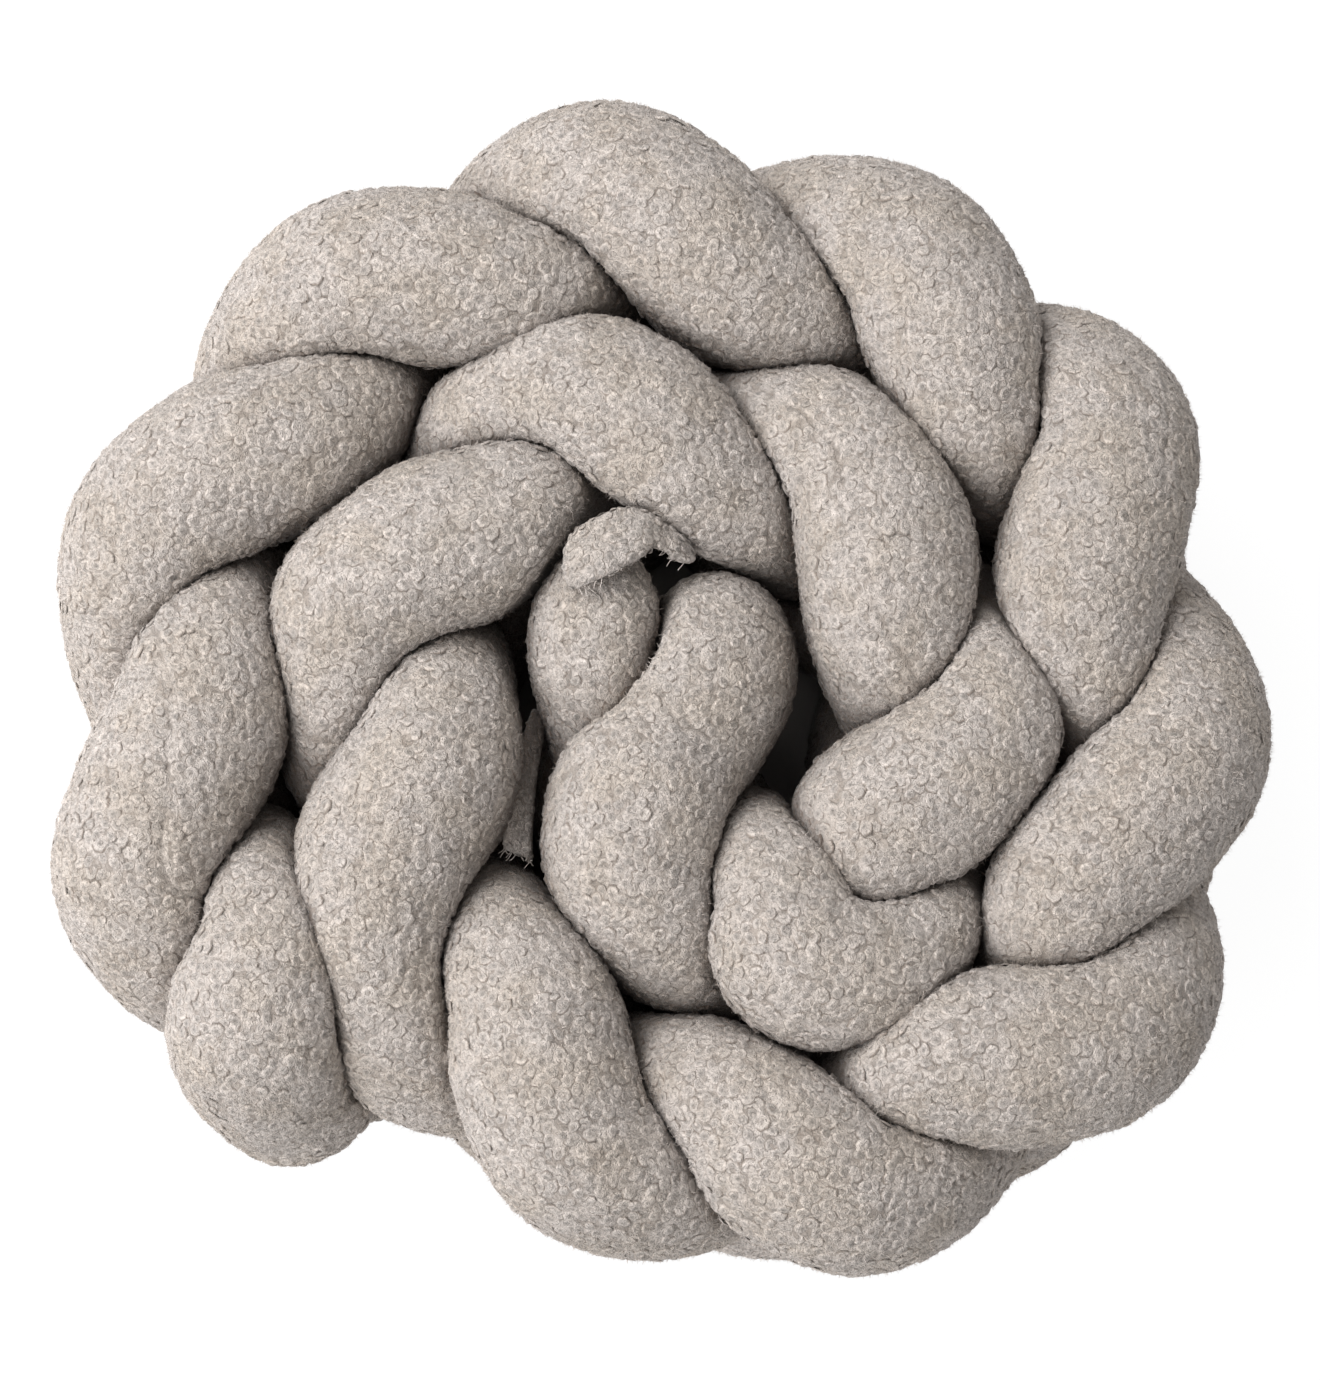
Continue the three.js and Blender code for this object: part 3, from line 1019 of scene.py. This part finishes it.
@dataclass(frozen=True)
class ClothSheet:
    """A piece of cloth of even thickness, on a grid of points halfway through it."""

    name: str
    middles: Array
    thickness: float
    # open_air: a given share from the first row to the last, which sets the painted shade of the sheet
    open_air: tuple[float, float] = (0.95, 0.95)
    thin_edge: float = 0.55
    lump: float = 7 * MM
    uneven: float = 1.2 * MM

    def surface_normals(self) -> Array:
        """Directions straight out of the grid at each of its points."""
        return unit(np.cross(np.gradient(self.middles, axis=0), np.gradient(self.middles, axis=1)))

    def steps(self) -> tuple[Array, Array]:
        """Lengths from point to point, down the grid's columns and along its rows."""
        return tuple(np.linalg.norm(np.diff(self.middles, axis=axis), axis=-1) for axis in (0, 1))

    def flat_size(self) -> tuple[float, float]:
        """The mean length of the grid's columns and of its rows."""
        down, along = self.steps()
        return float(down.sum(axis=0).mean()), float(along.sum(axis=1).mean())

    def raw_edge(self, which: RawEdge) -> tuple[Array, Array]:
        """Finds a raw edge.

        Args:
            which: The edge.

        Returns:
            Points along it, and the direction out of the cloth at each.
        """
        axis, last, inner = which.value
        edge = self.middles.take(last, axis)
        return edge, unit(edge - self.middles.take(inner, axis))

    def plain(self) -> Piece:
        """Makes the closed mesh, with room for curls on its faces and none along its edges.

        Returns:
            The mesh object, with curl_room, curl_size, open_air and lay stored on its points.
        """
        rows, columns = self.middles.shape[:2]
        half = np.full((rows, columns), self.thickness / 2)
        room = np.ones((rows, columns))
        for grid, share in ((half, self.thin_edge), (room, 0.0)):
            for edge in (grid[0], grid[-1], grid[:, 0], grid[:, -1]):
                edge *= share
        out = half[..., None] * self.surface_normals()
        front = grid_faces(rows, columns, False)
        leaves = ((self.middles + out, front), (self.middles - out, [face[::-1] for face in front]))
        points, faces = joined([(leaf.reshape(-1, 3), own) for leaf, own in leaves])
        numbers = np.arange(rows * columns).reshape(rows, columns)
        sides = (numbers[0], numbers[1:, -1], numbers[-1, -2::-1], numbers[-2:0:-1, 0])
        rim = np.concatenate(sides).tolist()
        for here, there in zip(rim, rim[1:] + rim[:1]):
            faces.append((there, here, rows * columns + here, rows * columns + there))
        made = new_object(f"{self.name}_plain", points, faces)
        turn_outward(made)
        down, along = self.steps()
        lay = np.zeros((rows, columns, 3))
        lay[1:, :, 0] = down.cumsum(axis=0)
        lay[:, 1:, 1] = along.cumsum(axis=1)
        air = np.linspace(*self.open_air, rows).repeat(columns)
        keep(made, curl_room=np.tile(room.ravel(), 2), curl_size=1.0)
        keep(made, open_air=np.tile(air, 2), lay=np.tile(lay.reshape(-1, 3), (2, 1)))
        return made


@dataclass(frozen=True)
class FoldedBinding:
    """A binding folded over: a front leaf, a round fold and a shorter back leaf."""

    name: str
    hem: tuple[HemPlace, ...]
    thickness: float = 2.4 * MM
    opening: float = 1.6 * MM
    back_leaf: float = 0.7
    arch: float = 2.2 * MM
    columns: int = 30
    leaf_steps: int = 9
    fold_turn: float = 60.0
    fold_steps: int = 5

    def profile(self, reach: float) -> Array:
        """Draws one section of the fold.

        Args:
            reach: How far it stands out.

        Returns:
            Its points, outward and upward from the hem.
        """
        half = (self.thickness + self.opening) / 2
        bend = reach - half
        share = np.linspace(0, 1, self.leaf_steps)
        front = np.column_stack([share * bend, half + self.arch * np.sin(np.pi * share)])
        turn = np.radians(np.linspace(self.fold_turn, -self.fold_turn, self.fold_steps))
        fold = np.column_stack([bend + half * np.cos(turn), half * np.sin(turn)])
        inward = bend - share * (bend - (1 - self.back_leaf) * reach)
        return np.vstack([front, fold, np.column_stack([inward, np.full(len(share), -half)])])

    def sheet(self) -> ClothSheet:
        """Runs the section along the hem.

        Returns:
            The binding's cloth.
        """
        rows = SmoothLine(np.array(self.hem, float)).even_rows(self.columns)
        bases = rows[:, :3] * MM
        heading, lift, reaches = rows[:, 3:].T
        turn, rise = np.radians(heading), np.radians(lift)
        out = np.column_stack([np.cos(rise) * np.cos(turn), np.cos(rise) * np.sin(turn), np.sin(rise)])
        up = unit(np.cross(np.gradient(bases, axis=0), out))
        sections = np.array([self.profile(reach * MM) for reach in reaches])
        middles = bases[:, None] + sections[..., :1] * out[:, None] + sections[..., 1:] * up[:, None]
        return ClothSheet(self.name, middles, self.thickness)


@dataclass(frozen=True)
class LooseFlap:
    """A strip of cloth with a raw edge that hangs out between two tubes."""

    name: str
    places: tuple[FlapPlace, ...]
    thickness: float = 2.2 * MM
    slant: float = 4 * MM
    slant_power: int = 6
    # painted shade: darkest where the flap comes out from between the tubes, lighter towards its raw end
    open_air: tuple[float, float] = (0.05, 0.55)
    rows: int = 24
    columns: int = 7

    def sheet(self) -> ClothSheet:
        """Runs the strip's width along its middle line, down to a slanted edge.

        Returns:
            The flap's cloth.
        """
        rows = SmoothLine(np.array(self.places, float)).even_rows(self.rows)
        width, tilt = rows[:, 3:].T
        tilt = np.radians(tilt)
        across = np.column_stack([np.cos(tilt), np.zeros(self.rows), -np.sin(tilt)])
        share = np.linspace(-0.5, 0.5, self.columns)
        offsets = share[None, :, None] * (width[:, None] * across * MM)[:, None]
        middles = rows[:, None, :3] * MM + offsets
        late = np.linspace(0, 1, self.rows)[:, None] ** self.slant_power
        middles[..., 1] -= self.slant * (late * share)
        return ClothSheet(self.name, middles, self.thickness, self.open_air)


@dataclass(frozen=True)
class LooseYarn:
    """Short ends of yarn along a raw edge."""

    name: str
    seed: int
    count: int
    length: float = 2.4 * MM
    shares: tuple[float, float] = (0.4, 1.2)
    lean: float = 0.5
    curl: float = 0.6
    radius: float = 0.2 * MM
    tint: float = 0.8
    sides: int = 3
    steps: int = 6
    askew: float = 0.1

    def grow(self, edge: Array, outward: Array) -> Piece:
        """Makes the ends.

        Args:
            edge: Points along the edge.
            outward: The direction out of the cloth at each of them.

        Returns:
            One piece with all the ends.
        """
        chance = np.random.default_rng(self.seed)
        line, way = SmoothLine(edge), SmoothLine(outward)
        share = np.linspace(0, 1, self.steps)[:, None]
        turn = 2 * np.pi * np.arange(self.sides) / self.sides
        last = (self.steps - 1) * self.sides
        caps = [tuple(range(self.sides))[::-1], tuple(range(last, last + self.sides))]
        parts = []
        for place in chance.uniform(0, len(edge) - 1, self.count):
            root, out = (held.at(np.array([place]))[0] for held in (line, way))
            reach = self.length * chance.uniform(*self.shares)
            lean, curl = (chance.normal(0, spread, 3) for spread in (self.lean, self.curl))
            path = root + reach * (share * (out + lean) + share**2 * curl)
            along = np.gradient(path, axis=0)
            side = unit(np.cross(along, UPWARD + self.askew))
            ring = round_about(turn, side, unit(np.cross(along, side)))
            points = (path[:, None] + self.radius * ring).reshape(-1, 3)
            parts.append((points, grid_faces(self.steps, self.sides, True) + caps))
        points, faces = joined(parts)
        made = new_object(self.name, points, faces)
        turn_outward(made)
        keep(made, whorl=np.full(points.shape, LOOSE_WHORL), crest=1.0, open_air=1.0, tint=self.tint)
        return made


# ---- stuffed tubes


@dataclass
class TubeSkin:
    """A tube's skin: rings of points, and the room for curls and their size at each point."""

    line: TubeLine
    points: Array
    room: Array
    curl_size: Array


@dataclass
class StuffedTubes:
    """The three tubes, pressed against each other and the floor.

    Four fields are shares: furthest is the longest spoke and tip_share the least one, both of the
    radius; touching is how short a free spoke has to be pressed to lose its curls; tightest is how
    far the inside of a bend may reach towards the bend's own centre.
    """

    radius: float = 36.9 * MM
    most_bulge: float = 1.12
    skin_gap: float = 1.6 * MM
    off_floor: float = 0.2 * MM
    furthest: float = 1.6
    touching: float = 0.88
    tip_length: float = 34 * MM
    tip_share: float = 0.04
    slim_from: float = 165 * MM
    slim_to: float = 95 * MM
    tightest: float = 0.85
    section_step: float = 3.6 * MM
    spokes: int = 66
    seam_half: float = 2.4 * MM
    seam_bare: float = 0.8
    seam_calm: float = 4.5 * MM
    seam_depth: float = 1.3 * MM
    seam_width: float = 1.1 * MM
    least_curl: float = 0.35
    softness: float = 12.0
    soft_steps: tuple[float, float] = (2.0, 2.0)
    bend_steps: tuple[float, float] = (2.0, 0.3)
    near_reach: float = 91 * MM
    own_skip: float = 114 * MM
    bulge_spread: float = 88 * MM
    bulge_rounds: int = 4
    compare_step: float = 5 * MM
    lump: float = 8 * MM
    uneven: float = 1.8 * MM
    plait: Plait = field(default_factory=Plait)

    def seam_spokes(self) -> Array:
        """Spreads the spokes of a section: even all round, and a few more close to the seam.

        Returns:
            The angle of each from the seam.
        """
        close = np.array([-1.0, -0.5, 0.0, 0.5, 1.0]) * self.seam_half / self.radius
        edge = 2 * self.seam_half / self.radius
        return np.concatenate([close, np.linspace(edge, 2 * np.pi - edge, self.spokes)])

    def spoke_directions(self, line: TubeLine) -> Array:
        """Directions of the spokes of each section, in the plane across the tube.

        Args:
            line: The tube's centre line.

        Returns:
            A unit direction for each section and spoke, the first few along the seam.
        """
        along = unit(np.gradient(line.points, axis=0))
        side = unit(np.cross(along, UPWARD))
        lobes, turns = np.array(SEAMS[line.tube]).T
        seam = np.radians(np.interp(line.lobes, lobes, turns))
        return round_about(seam[:, None] + self.seam_spokes()[None], side, np.cross(side, along))

    def limits(self, line: TubeLine, directions: Array, lines: Sequence[TubeLine]) -> Array:
        """How far each spoke can reach before it meets the floor or a neighbour.

        Args:
            line: The tube's own line.
            directions: Its spokes.
            lines: Every tube's line, to compare with.

        Returns:
            A length for each spoke.
        """
        downward = np.maximum(-directions[..., 2], 1e-6)
        limits = line.points[:, None, 2] / downward
        others = np.vstack([other.points for other in lines])
        tubes = np.concatenate([np.full(len(other.runs), other.tube) for other in lines])
        runs = np.concatenate([other.runs for other in lines])
        for i, centre in enumerate(line.points):
            offsets = others - centre
            apart = np.linalg.norm(offsets, axis=1)
            foreign = (tubes != line.tube) | (np.abs(runs - line.runs[i]) > self.own_skip)
            near = foreign & (apart < self.near_reach)
            if near.any():
                lean = directions[i] @ (offsets[near] / apart[near, None]).T
                half_way = (apart[near] - self.skin_gap) / (2 * np.maximum(lean, 1e-6))
                limits[i] = np.minimum(limits[i], half_way.min(axis=1))
        return limits

    def bend_limits(self, line: TubeLine, directions: Array) -> Array:
        """How far each spoke can reach on the inside of a bend before the sections cross.

        Args:
            line: The tube's own line.
            directions: Its spokes.

        Returns:
            A length for each spoke.
        """
        along = np.gradient(line.points, line.runs, axis=0)
        inward = smoothed(np.gradient(along, line.runs, axis=0), self.bend_steps)
        towards = np.einsum("ijk,ik->ij", directions, inward)
        return self.tightest / np.maximum(towards, 1e-3)

    def unpressed(self, line: TubeLine) -> Array:
        """The radius of each section when nothing presses it: round tips, and a slim inner end.

        Args:
            line: The tube's centre line.

        Returns:
            A length for each section.
        """
        to_end = line.length - line.runs
        gone = 1 - np.minimum(np.minimum(line.runs, to_end) / self.tip_length, 1)
        inner = np.clip((to_end - self.slim_to) / (self.slim_from - self.slim_to), 0, 1)
        slim = TUBE_ENDS[line.tube].slim
        thick = slim + (1 - slim) * inner**2 * (3 - 2 * inner)
        return self.radius * thick * np.maximum(np.sqrt(1 - gone**2), self.tip_share)

    def skin(self, line: TubeLine, lines: Sequence[TubeLine]) -> TubeSkin:
        """Presses one tube into shape: where it can't spread it bulges, so that its filling stays.

        Args:
            line: The tube's centre line.
            lines: Every tube's line, to press against.

        Returns:
            The tube's skin.
        """
        directions = self.spoke_directions(line)
        pressed, bent = (
            smoothed(np.minimum(reach, self.furthest * self.radius), self.soft_steps)
            for reach in (self.limits(line, directions, lines), self.bend_limits(line, directions))
        )
        limits = np.minimum(pressed, bent)
        plain = self.unpressed(line)
        spokes = self.seam_spokes()
        wedges = np.diff(spokes, append=spokes[0] + 2 * np.pi)
        spread = round(self.bulge_spread / self.section_step)
        kernel = np.ones(2 * spread + 1) / (2 * spread + 1)
        growth = np.ones(len(plain))
        for _ in range(self.bulge_rounds):
            free = (plain * growth)[:, None]
            reach = (free**-self.softness + limits**-self.softness) ** (-1 / self.softness)
            area = 0.5 * (reach * np.roll(reach, -1, axis=1) * np.sin(wedges)).sum(axis=1)
            wanted = np.clip(np.sqrt(np.pi * plain**2 / area), 1, self.most_bulge)
            growth = np.convolve(np.pad(wanted, spread, mode="edge"), kernel, mode="valid")
        across = self.radius * (spokes + np.pi) % (2 * np.pi * self.radius) - np.pi * self.radius
        room = (pressed > self.touching * free).astype(float)
        room[:, np.abs(across) < self.seam_bare * self.seam_half] = 0
        size = np.clip(np.abs(across) / self.seam_calm, self.least_curl, 1) * np.ones_like(room)
        reach = reach - self.seam_depth * np.exp(-((across / self.seam_width) ** 2))
        points = line.points[:, None] + reach[..., None] * directions
        points[..., 2] = np.maximum(points[..., 2], self.off_floor)
        return TubeSkin(line, points, room, size)

    def all_skins(self) -> list[TubeSkin]:
        """Presses all three tubes.

        Returns:
            Their skins.
        """
        tubes = range(self.plait.strands)
        coarse = [self.plait.tube_line(tube, self.compare_step) for tube in tubes]
        return [self.skin(self.plait.tube_line(tube, self.section_step), coarse) for tube in tubes]


@dataclass(frozen=True)
class OpenAir:
    """Finds how much open air or bright floor each place on the tubes sees; the less it sees, the more
    painted shade the yarn takes.
    """

    every: int = 3
    rays: int = 24
    lift: float = 1.5 * MM
    reach: float = 0.6
    footprint: float = 0.22
    askew: float = 0.01

    def directions(self) -> Array:
        """Even directions over the upper half of a sphere, leaning towards its pole.

        Returns:
            A unit direction for each ray.
        """
        number = np.arange(self.rays) + 0.5
        height = np.sqrt(1 - number / self.rays)
        turn = np.pi * (1 + math.sqrt(5)) * number
        level = np.sqrt(1 - height**2)
        return np.column_stack([level * np.cos(turn), level * np.sin(turn), height])

    def measure(self, skins: Sequence[TubeSkin]) -> list[Array]:
        """Casts rays from every few points of the skins.

        Args:
            skins: The tubes' skins.

        Returns:
            For each skin, a share from 0 to 1 for each of its points.
        """
        grids = [skin.points[:: self.every, :: self.every] for skin in skins]
        points, faces = joined([(grid.reshape(-1, 3), grid_faces(*grid.shape[:2], True)) for grid in grids])
        tree = BVHTree.FromPolygons(points.tolist(), faces)
        return [self.spread(skin, self.cast(skin, grid, tree)) for skin, grid in zip(skins, grids)]

    def cast(self, skin: TubeSkin, grid: Array, tree: BVHTree) -> Array:
        """Counts the rays that get away from each point of a coarse grid.

        Args:
            skin: The tube's skin.
            grid: Every few points of it.
            tree: All the tubes' faces, to meet the rays.

        Returns:
            The share of the rays that get away, for each point of the grid.
        """
        outward = unit(grid - skin.line.points[:: self.every, None])
        side = unit(np.cross(outward, UPWARD + self.askew))
        other = np.cross(outward, side)
        starts = grid + self.lift * outward
        free = np.zeros(grid.shape[:2])
        for level, across, up in self.directions():
            ways = level * side + across * other + up * outward
            for i, j in np.ndindex(free.shape):
                start, way = starts[i, j], ways[i, j]
                landing = start - way * start[2] / way[2]
                grounded = way[2] < 0 and math.hypot(landing[0], landing[1]) < self.footprint
                if not grounded and tree.ray_cast(Vector(start), Vector(way), self.reach)[0] is None:
                    free[i, j] += 1
        return free / self.rays

    def spread(self, skin: TubeSkin, coarse: Array) -> Array:
        """Fills the points between the ones that rays were cast from.

        Args:
            skin: The tube's skin.
            coarse: A share for each point of the coarse grid.

        Returns:
            A share for each point of the skin.
        """
        sections, spokes = skin.points.shape[:2]
        wrapped = np.column_stack([coarse, coarse[:, :1]])
        columns = np.append(np.arange(0, spokes, self.every), spokes)
        rows = np.arange(0, sections, self.every)
        filled = np.array([np.interp(np.arange(spokes), columns, row) for row in wrapped])
        return np.array([np.interp(np.arange(sections), rows, column) for column in filled.T]).T


# ---- assembly


class Held(Enum):
    """How a sheet of cloth is held."""

    FOLDED = "folded"
    HUNG = "hung"


class SewnCloth(NamedTuple):
    """A small piece of cloth, its raw edge with a number of loose ends, and how it is held."""

    maker: FoldedBinding | LooseFlap
    edge: RawEdge
    ends: int
    held: Held
    carriers: tuple[str, ...]


SEWN = (
    SewnCloth(FoldedBinding("inner_binding", INNER_HEM), RawEdge.SIDE, 40, Held.FOLDED, ("tube_1_cloth",)),
    SewnCloth(FoldedBinding("outer_binding", OUTER_HEM), RawEdge.SIDE, 8, Held.FOLDED, ("tube_3_cloth",)),
    SewnCloth(LooseFlap("inner_flap", INNER_FLAP), RawEdge.END, 16, Held.HUNG, ("tube_3_cloth",)),
)


@dataclass
class Bumper:
    """The whole bumper."""

    tubes: StuffedTubes = field(default_factory=StuffedTubes)
    yarn: YarnFinish = field(default_factory=YarnFinish)
    air: OpenAir = field(default_factory=OpenAir)
    relief: Relief = field(default_factory=Relief)
    curl_sowing: Sower = field(default_factory=curl_sower)
    fibre_sowing: Sower = field(default_factory=fibre_sower)
    least_air: float = 0.02
    least_height: float = 7 * MM
    fine_curls: float = 0.75
    fuzz_seed: int = 20
    sewn_seed: int = 11
    ground: Material = field(init=False)
    curls: Material = field(init=False)

    def __post_init__(self) -> None:
        """Makes the two finishes."""
        self.ground, self.curls = self.yarn.ground(), self.yarn.curls()

    def tube_cloth(self, skin: TubeSkin, open_air: Array) -> Piece:
        """Makes a tube's skin a closed mesh with what it stores.

        Args:
            skin: The tube's skin.
            open_air: How much air each of its points sees.

        Returns:
            The mesh object, without its relief.
        """
        sections, spokes = skin.points.shape[:2]
        points = np.vstack([skin.points.reshape(-1, 3), skin.line.points[[0, -1]]])
        faces = [face[::-1] for face in grid_faces(sections, spokes, True)]
        first, last = sections * spokes, (sections - 1) * spokes
        for s in range(spokes):
            following = (s + 1) % spokes
            faces.append((first, s, following))
            faces.append((first + 1, last + following, last + s))
        made = new_object(f"skin_{skin.line.tube + 1}", points, faces)
        # painted shade: places near the floor or seeing almost no air get no curls and no open air, so they
        # are painted in full shade
        clear = (open_air > self.least_air) & (skin.points[..., 2] > self.least_height)
        values = {"curl_room": skin.room * clear, "open_air": open_air * clear, "curl_size": skin.curl_size}
        keep(made, **{name: np.append(value.ravel(), [0, 0]) for name, value in values.items()})
        rows, columns = np.divmod(np.arange(last), spokes)
        angles = self.tubes.seam_spokes()
        around = self.tubes.radius * np.append(angles, angles[0] + 2 * np.pi)
        along = skin.line.runs[rows[:, None] + [1, 1, 0, 0]]
        lay = np.stack([along, around[columns[:, None] + [0, 1, 1, 0]], 0 * along], axis=-1)
        keep(made, "CORNER", lay=np.vstack([lay.reshape(-1, 3), np.zeros((6 * spokes, 3))]))
        return made

    def build_tube(self, skin: TubeSkin, open_air: Array) -> None:
        """Builds a tube's cloth, its curls and its fuzz.

        Args:
            skin: The tube's skin.
            open_air: How much air each of its points sees.
        """
        number = skin.line.tube + 1
        plain, lumps = self.tube_cloth(skin, open_air), (self.tubes.lump, self.tubes.uneven)
        cloth = self.relief.lift(plain, f"tube_{number}_cloth", *lumps, self.ground)
        pile = self.curl_sowing.sow(cloth, f"tube_{number}_curls", number, self.curls)
        fuzz = self.fibre_sowing.sow(cloth, f"tube_{number}_fuzz", number + self.fuzz_seed, self.curls)
        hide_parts(f"tube_{number}")
        pieces = (cloth, pile, fuzz)
        for piece in pieces:
            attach(piece, BODY)
        triangles = [sum(len(face.vertices) - 2 for face in piece.data.polygons) for piece in pieces]
        log.info("tube %d: %s triangles, %.3f m long", number, triangles, skin.line.length)

    def build_sewn(self, sewn: SewnCloth, number: int) -> None:
        """Builds a binding or a flap, with its curls and its ends of yarn.

        Args:
            sewn: The piece of cloth.
            number: The seed of its curls and its ends.
        """
        sheet = sewn.maker.sheet()
        lumps = (sheet.lump, sheet.uneven)
        cloth = self.relief.lift(sheet.plain(), f"{sheet.name}_cloth", *lumps, self.ground)
        pile = self.curl_sowing.sow(cloth, f"{sheet.name}_curls", number, self.curls, self.fine_curls)
        frayed = LooseYarn(f"{sheet.name}_ends", number, sewn.ends).grow(*sheet.raw_edge(sewn.edge))
        frayed.data.materials.append(self.curls)
        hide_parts(sheet.name)
        for piece in (cloth, pile, frayed):
            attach(piece, BODY)
        flat, held = sheet.flat_size(), sewn.held.value
        log.info("%s: cut %.0f by %.0f mm", sheet.name, *(side / MM for side in flat))

    def build(self) -> None:
        """Builds every piece."""
        skins = self.tubes.all_skins()
        log.info("skins pressed")
        airs = self.air.measure(skins)
        log.info("open air measured")
        for skin, open_air in zip(skins, airs):
            self.build_tube(skin, open_air)
        for number, sewn in enumerate(SEWN, start=self.sewn_seed):
            self.build_sewn(sewn, number)
        self.curl_sowing.put_away()
        self.fibre_sowing.put_away()


# ---- studio


class Lamp(NamedTuple):
    """A soft square lamp: where it hangs, how wide it is and how many watts it has."""

    name: str
    place: tuple[float, float, float]
    side: float
    power: float


@dataclass(frozen=True)
class Studio:
    """A pale floor with painted shade under the coil, soft light and the camera above the coil."""

    target: Place = Place(6, 1, 90)
    elevation: float = 82.0
    distance: float = 1.4
    lens: float = 83.0
    floor_side: float = 12.0
    floor_tone: Colour = (0.85, 0.85, 0.85)
    # painted shade: the floor's colour under the coil, where the hole between the tubes shows it
    painted_floor_shade: Colour = (0.42, 0.39, 0.37)
    inner_reach: float = 0.19
    inner_edge: float = 0.02
    glow: float = 1.1
    glow_share: float = 0.85
    sky: float = 0.42
    lamps: tuple[Lamp, ...] = (
        Lamp("key", (-1.0, 0.95, 1.7), 1.4, 33.0),
        Lamp("fill", (-1.4, -0.9, 1.6), 1.8, 37.0),
    )

    def floor(self) -> None:
        """Makes the floor, which looks white and keeps the object's shadow; under the coil it is painted
        dark as shade and does not glow.
        """
        half = self.floor_side / 2
        corners = np.array([(-half, -half, 0), (half, -half, 0), (half, half, 0), (-half, half, 0)])
        made = new_object("floor", corners, [(0, 1, 2, 3)])
        paint = Paint("floor_white")
        rays = paint.node("ShaderNodeLightPath").outputs
        seen = paint.math("MAXIMUM", rays["Is Camera Ray"], rays["Is Glossy Ray"])
        seen = paint.math("MAXIMUM", seen, rays["Is Transmission Ray"])
        reach = paint.vector("LENGTH", paint.object_place())
        inner, outer = self.inner_reach - self.inner_edge, self.inner_reach
        edge = {"Value": reach, "From Min": inner, "From Max": outer}
        outside = paint.node("ShaderNodeMapRange", edge).outputs[0]
        # painted shade: the floor is painted dark inside the coil's footprint
        tone = paint.blend(outside, self.painted_floor_shade, self.floor_tone)
        plain = paint.node("ShaderNodeBsdfDiffuse", {"Color": tone}).outputs[0]
        glow = paint.node("ShaderNodeEmission", {"Color": WHITE, "Strength": self.glow}).outputs[0]
        share = paint.math("MULTIPLY", paint.math("MULTIPLY", seen, outside), self.glow_share)
        mixed = paint.node("ShaderNodeMixShader", {0: share, 1: plain, 2: glow}).outputs[0]
        made.data.materials.append(paint.finish(mixed))

    def world(self) -> None:
        """Lights everything softly, and shows white to the camera."""
        world = bpy.data.worlds.new("studio")
        bpy.context.scene.world = world
        world.use_nodes = True
        nodes = Nodes(world.node_tree)
        seen = nodes.node("ShaderNodeLightPath").outputs["Is Camera Ray"]
        soft, white = (
            nodes.node("ShaderNodeBackground", {"Color": WHITE, "Strength": strength}).outputs[0]
            for strength in (self.sky, 1.0)
        )
        mixed = nodes.node("ShaderNodeMixShader", {0: seen, 1: soft, 2: white}).outputs[0]
        nodes.node("ShaderNodeOutputWorld", {"Surface": mixed})

    def hang(self, name: str, data: bpy.types.ID, place: Vector, ahead: Vector) -> Piece:
        """Hangs a lamp or a camera.

        Args:
            name: Its name.
            data: The lamp's or the camera's settings.
            place: Where it hangs.
            ahead: The way it faces.

        Returns:
            The object.
        """
        made = in_scene(name, data)
        made.location = place
        made.rotation_mode = "QUATERNION"
        made.rotation_quaternion = ahead.to_track_quat("-Z", "Y")
        return made

    def build(self) -> None:
        """Builds the studio, with the camera above the coil and a little to its -Y side."""
        bpy.context.scene.view_settings.view_transform = "Standard"
        lens = bpy.data.cameras.new("camera")
        lens.lens = self.lens
        rise = math.radians(self.elevation)
        back = Vector((0.0, -math.cos(rise), math.sin(rise)))
        place = Vector(self.target) * MM + self.distance * back
        bpy.context.scene.camera = self.hang("camera", lens, place, -back)
        self.floor()
        self.world()
        for lamp in self.lamps:
            light = bpy.data.lights.new(lamp.name, "AREA")
            light.size = lamp.side
            light.energy = lamp.power
            self.hang(lamp.name, light, Vector(lamp.place), -Vector(lamp.place))


def main() -> None:
    """Builds the studio and the bumper."""
    logging.basicConfig(level=logging.INFO, format="%(name)s: %(message)s")
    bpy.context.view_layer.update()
    Studio().build()
    Bumper().build()


if __name__ == "__main__":
    main()
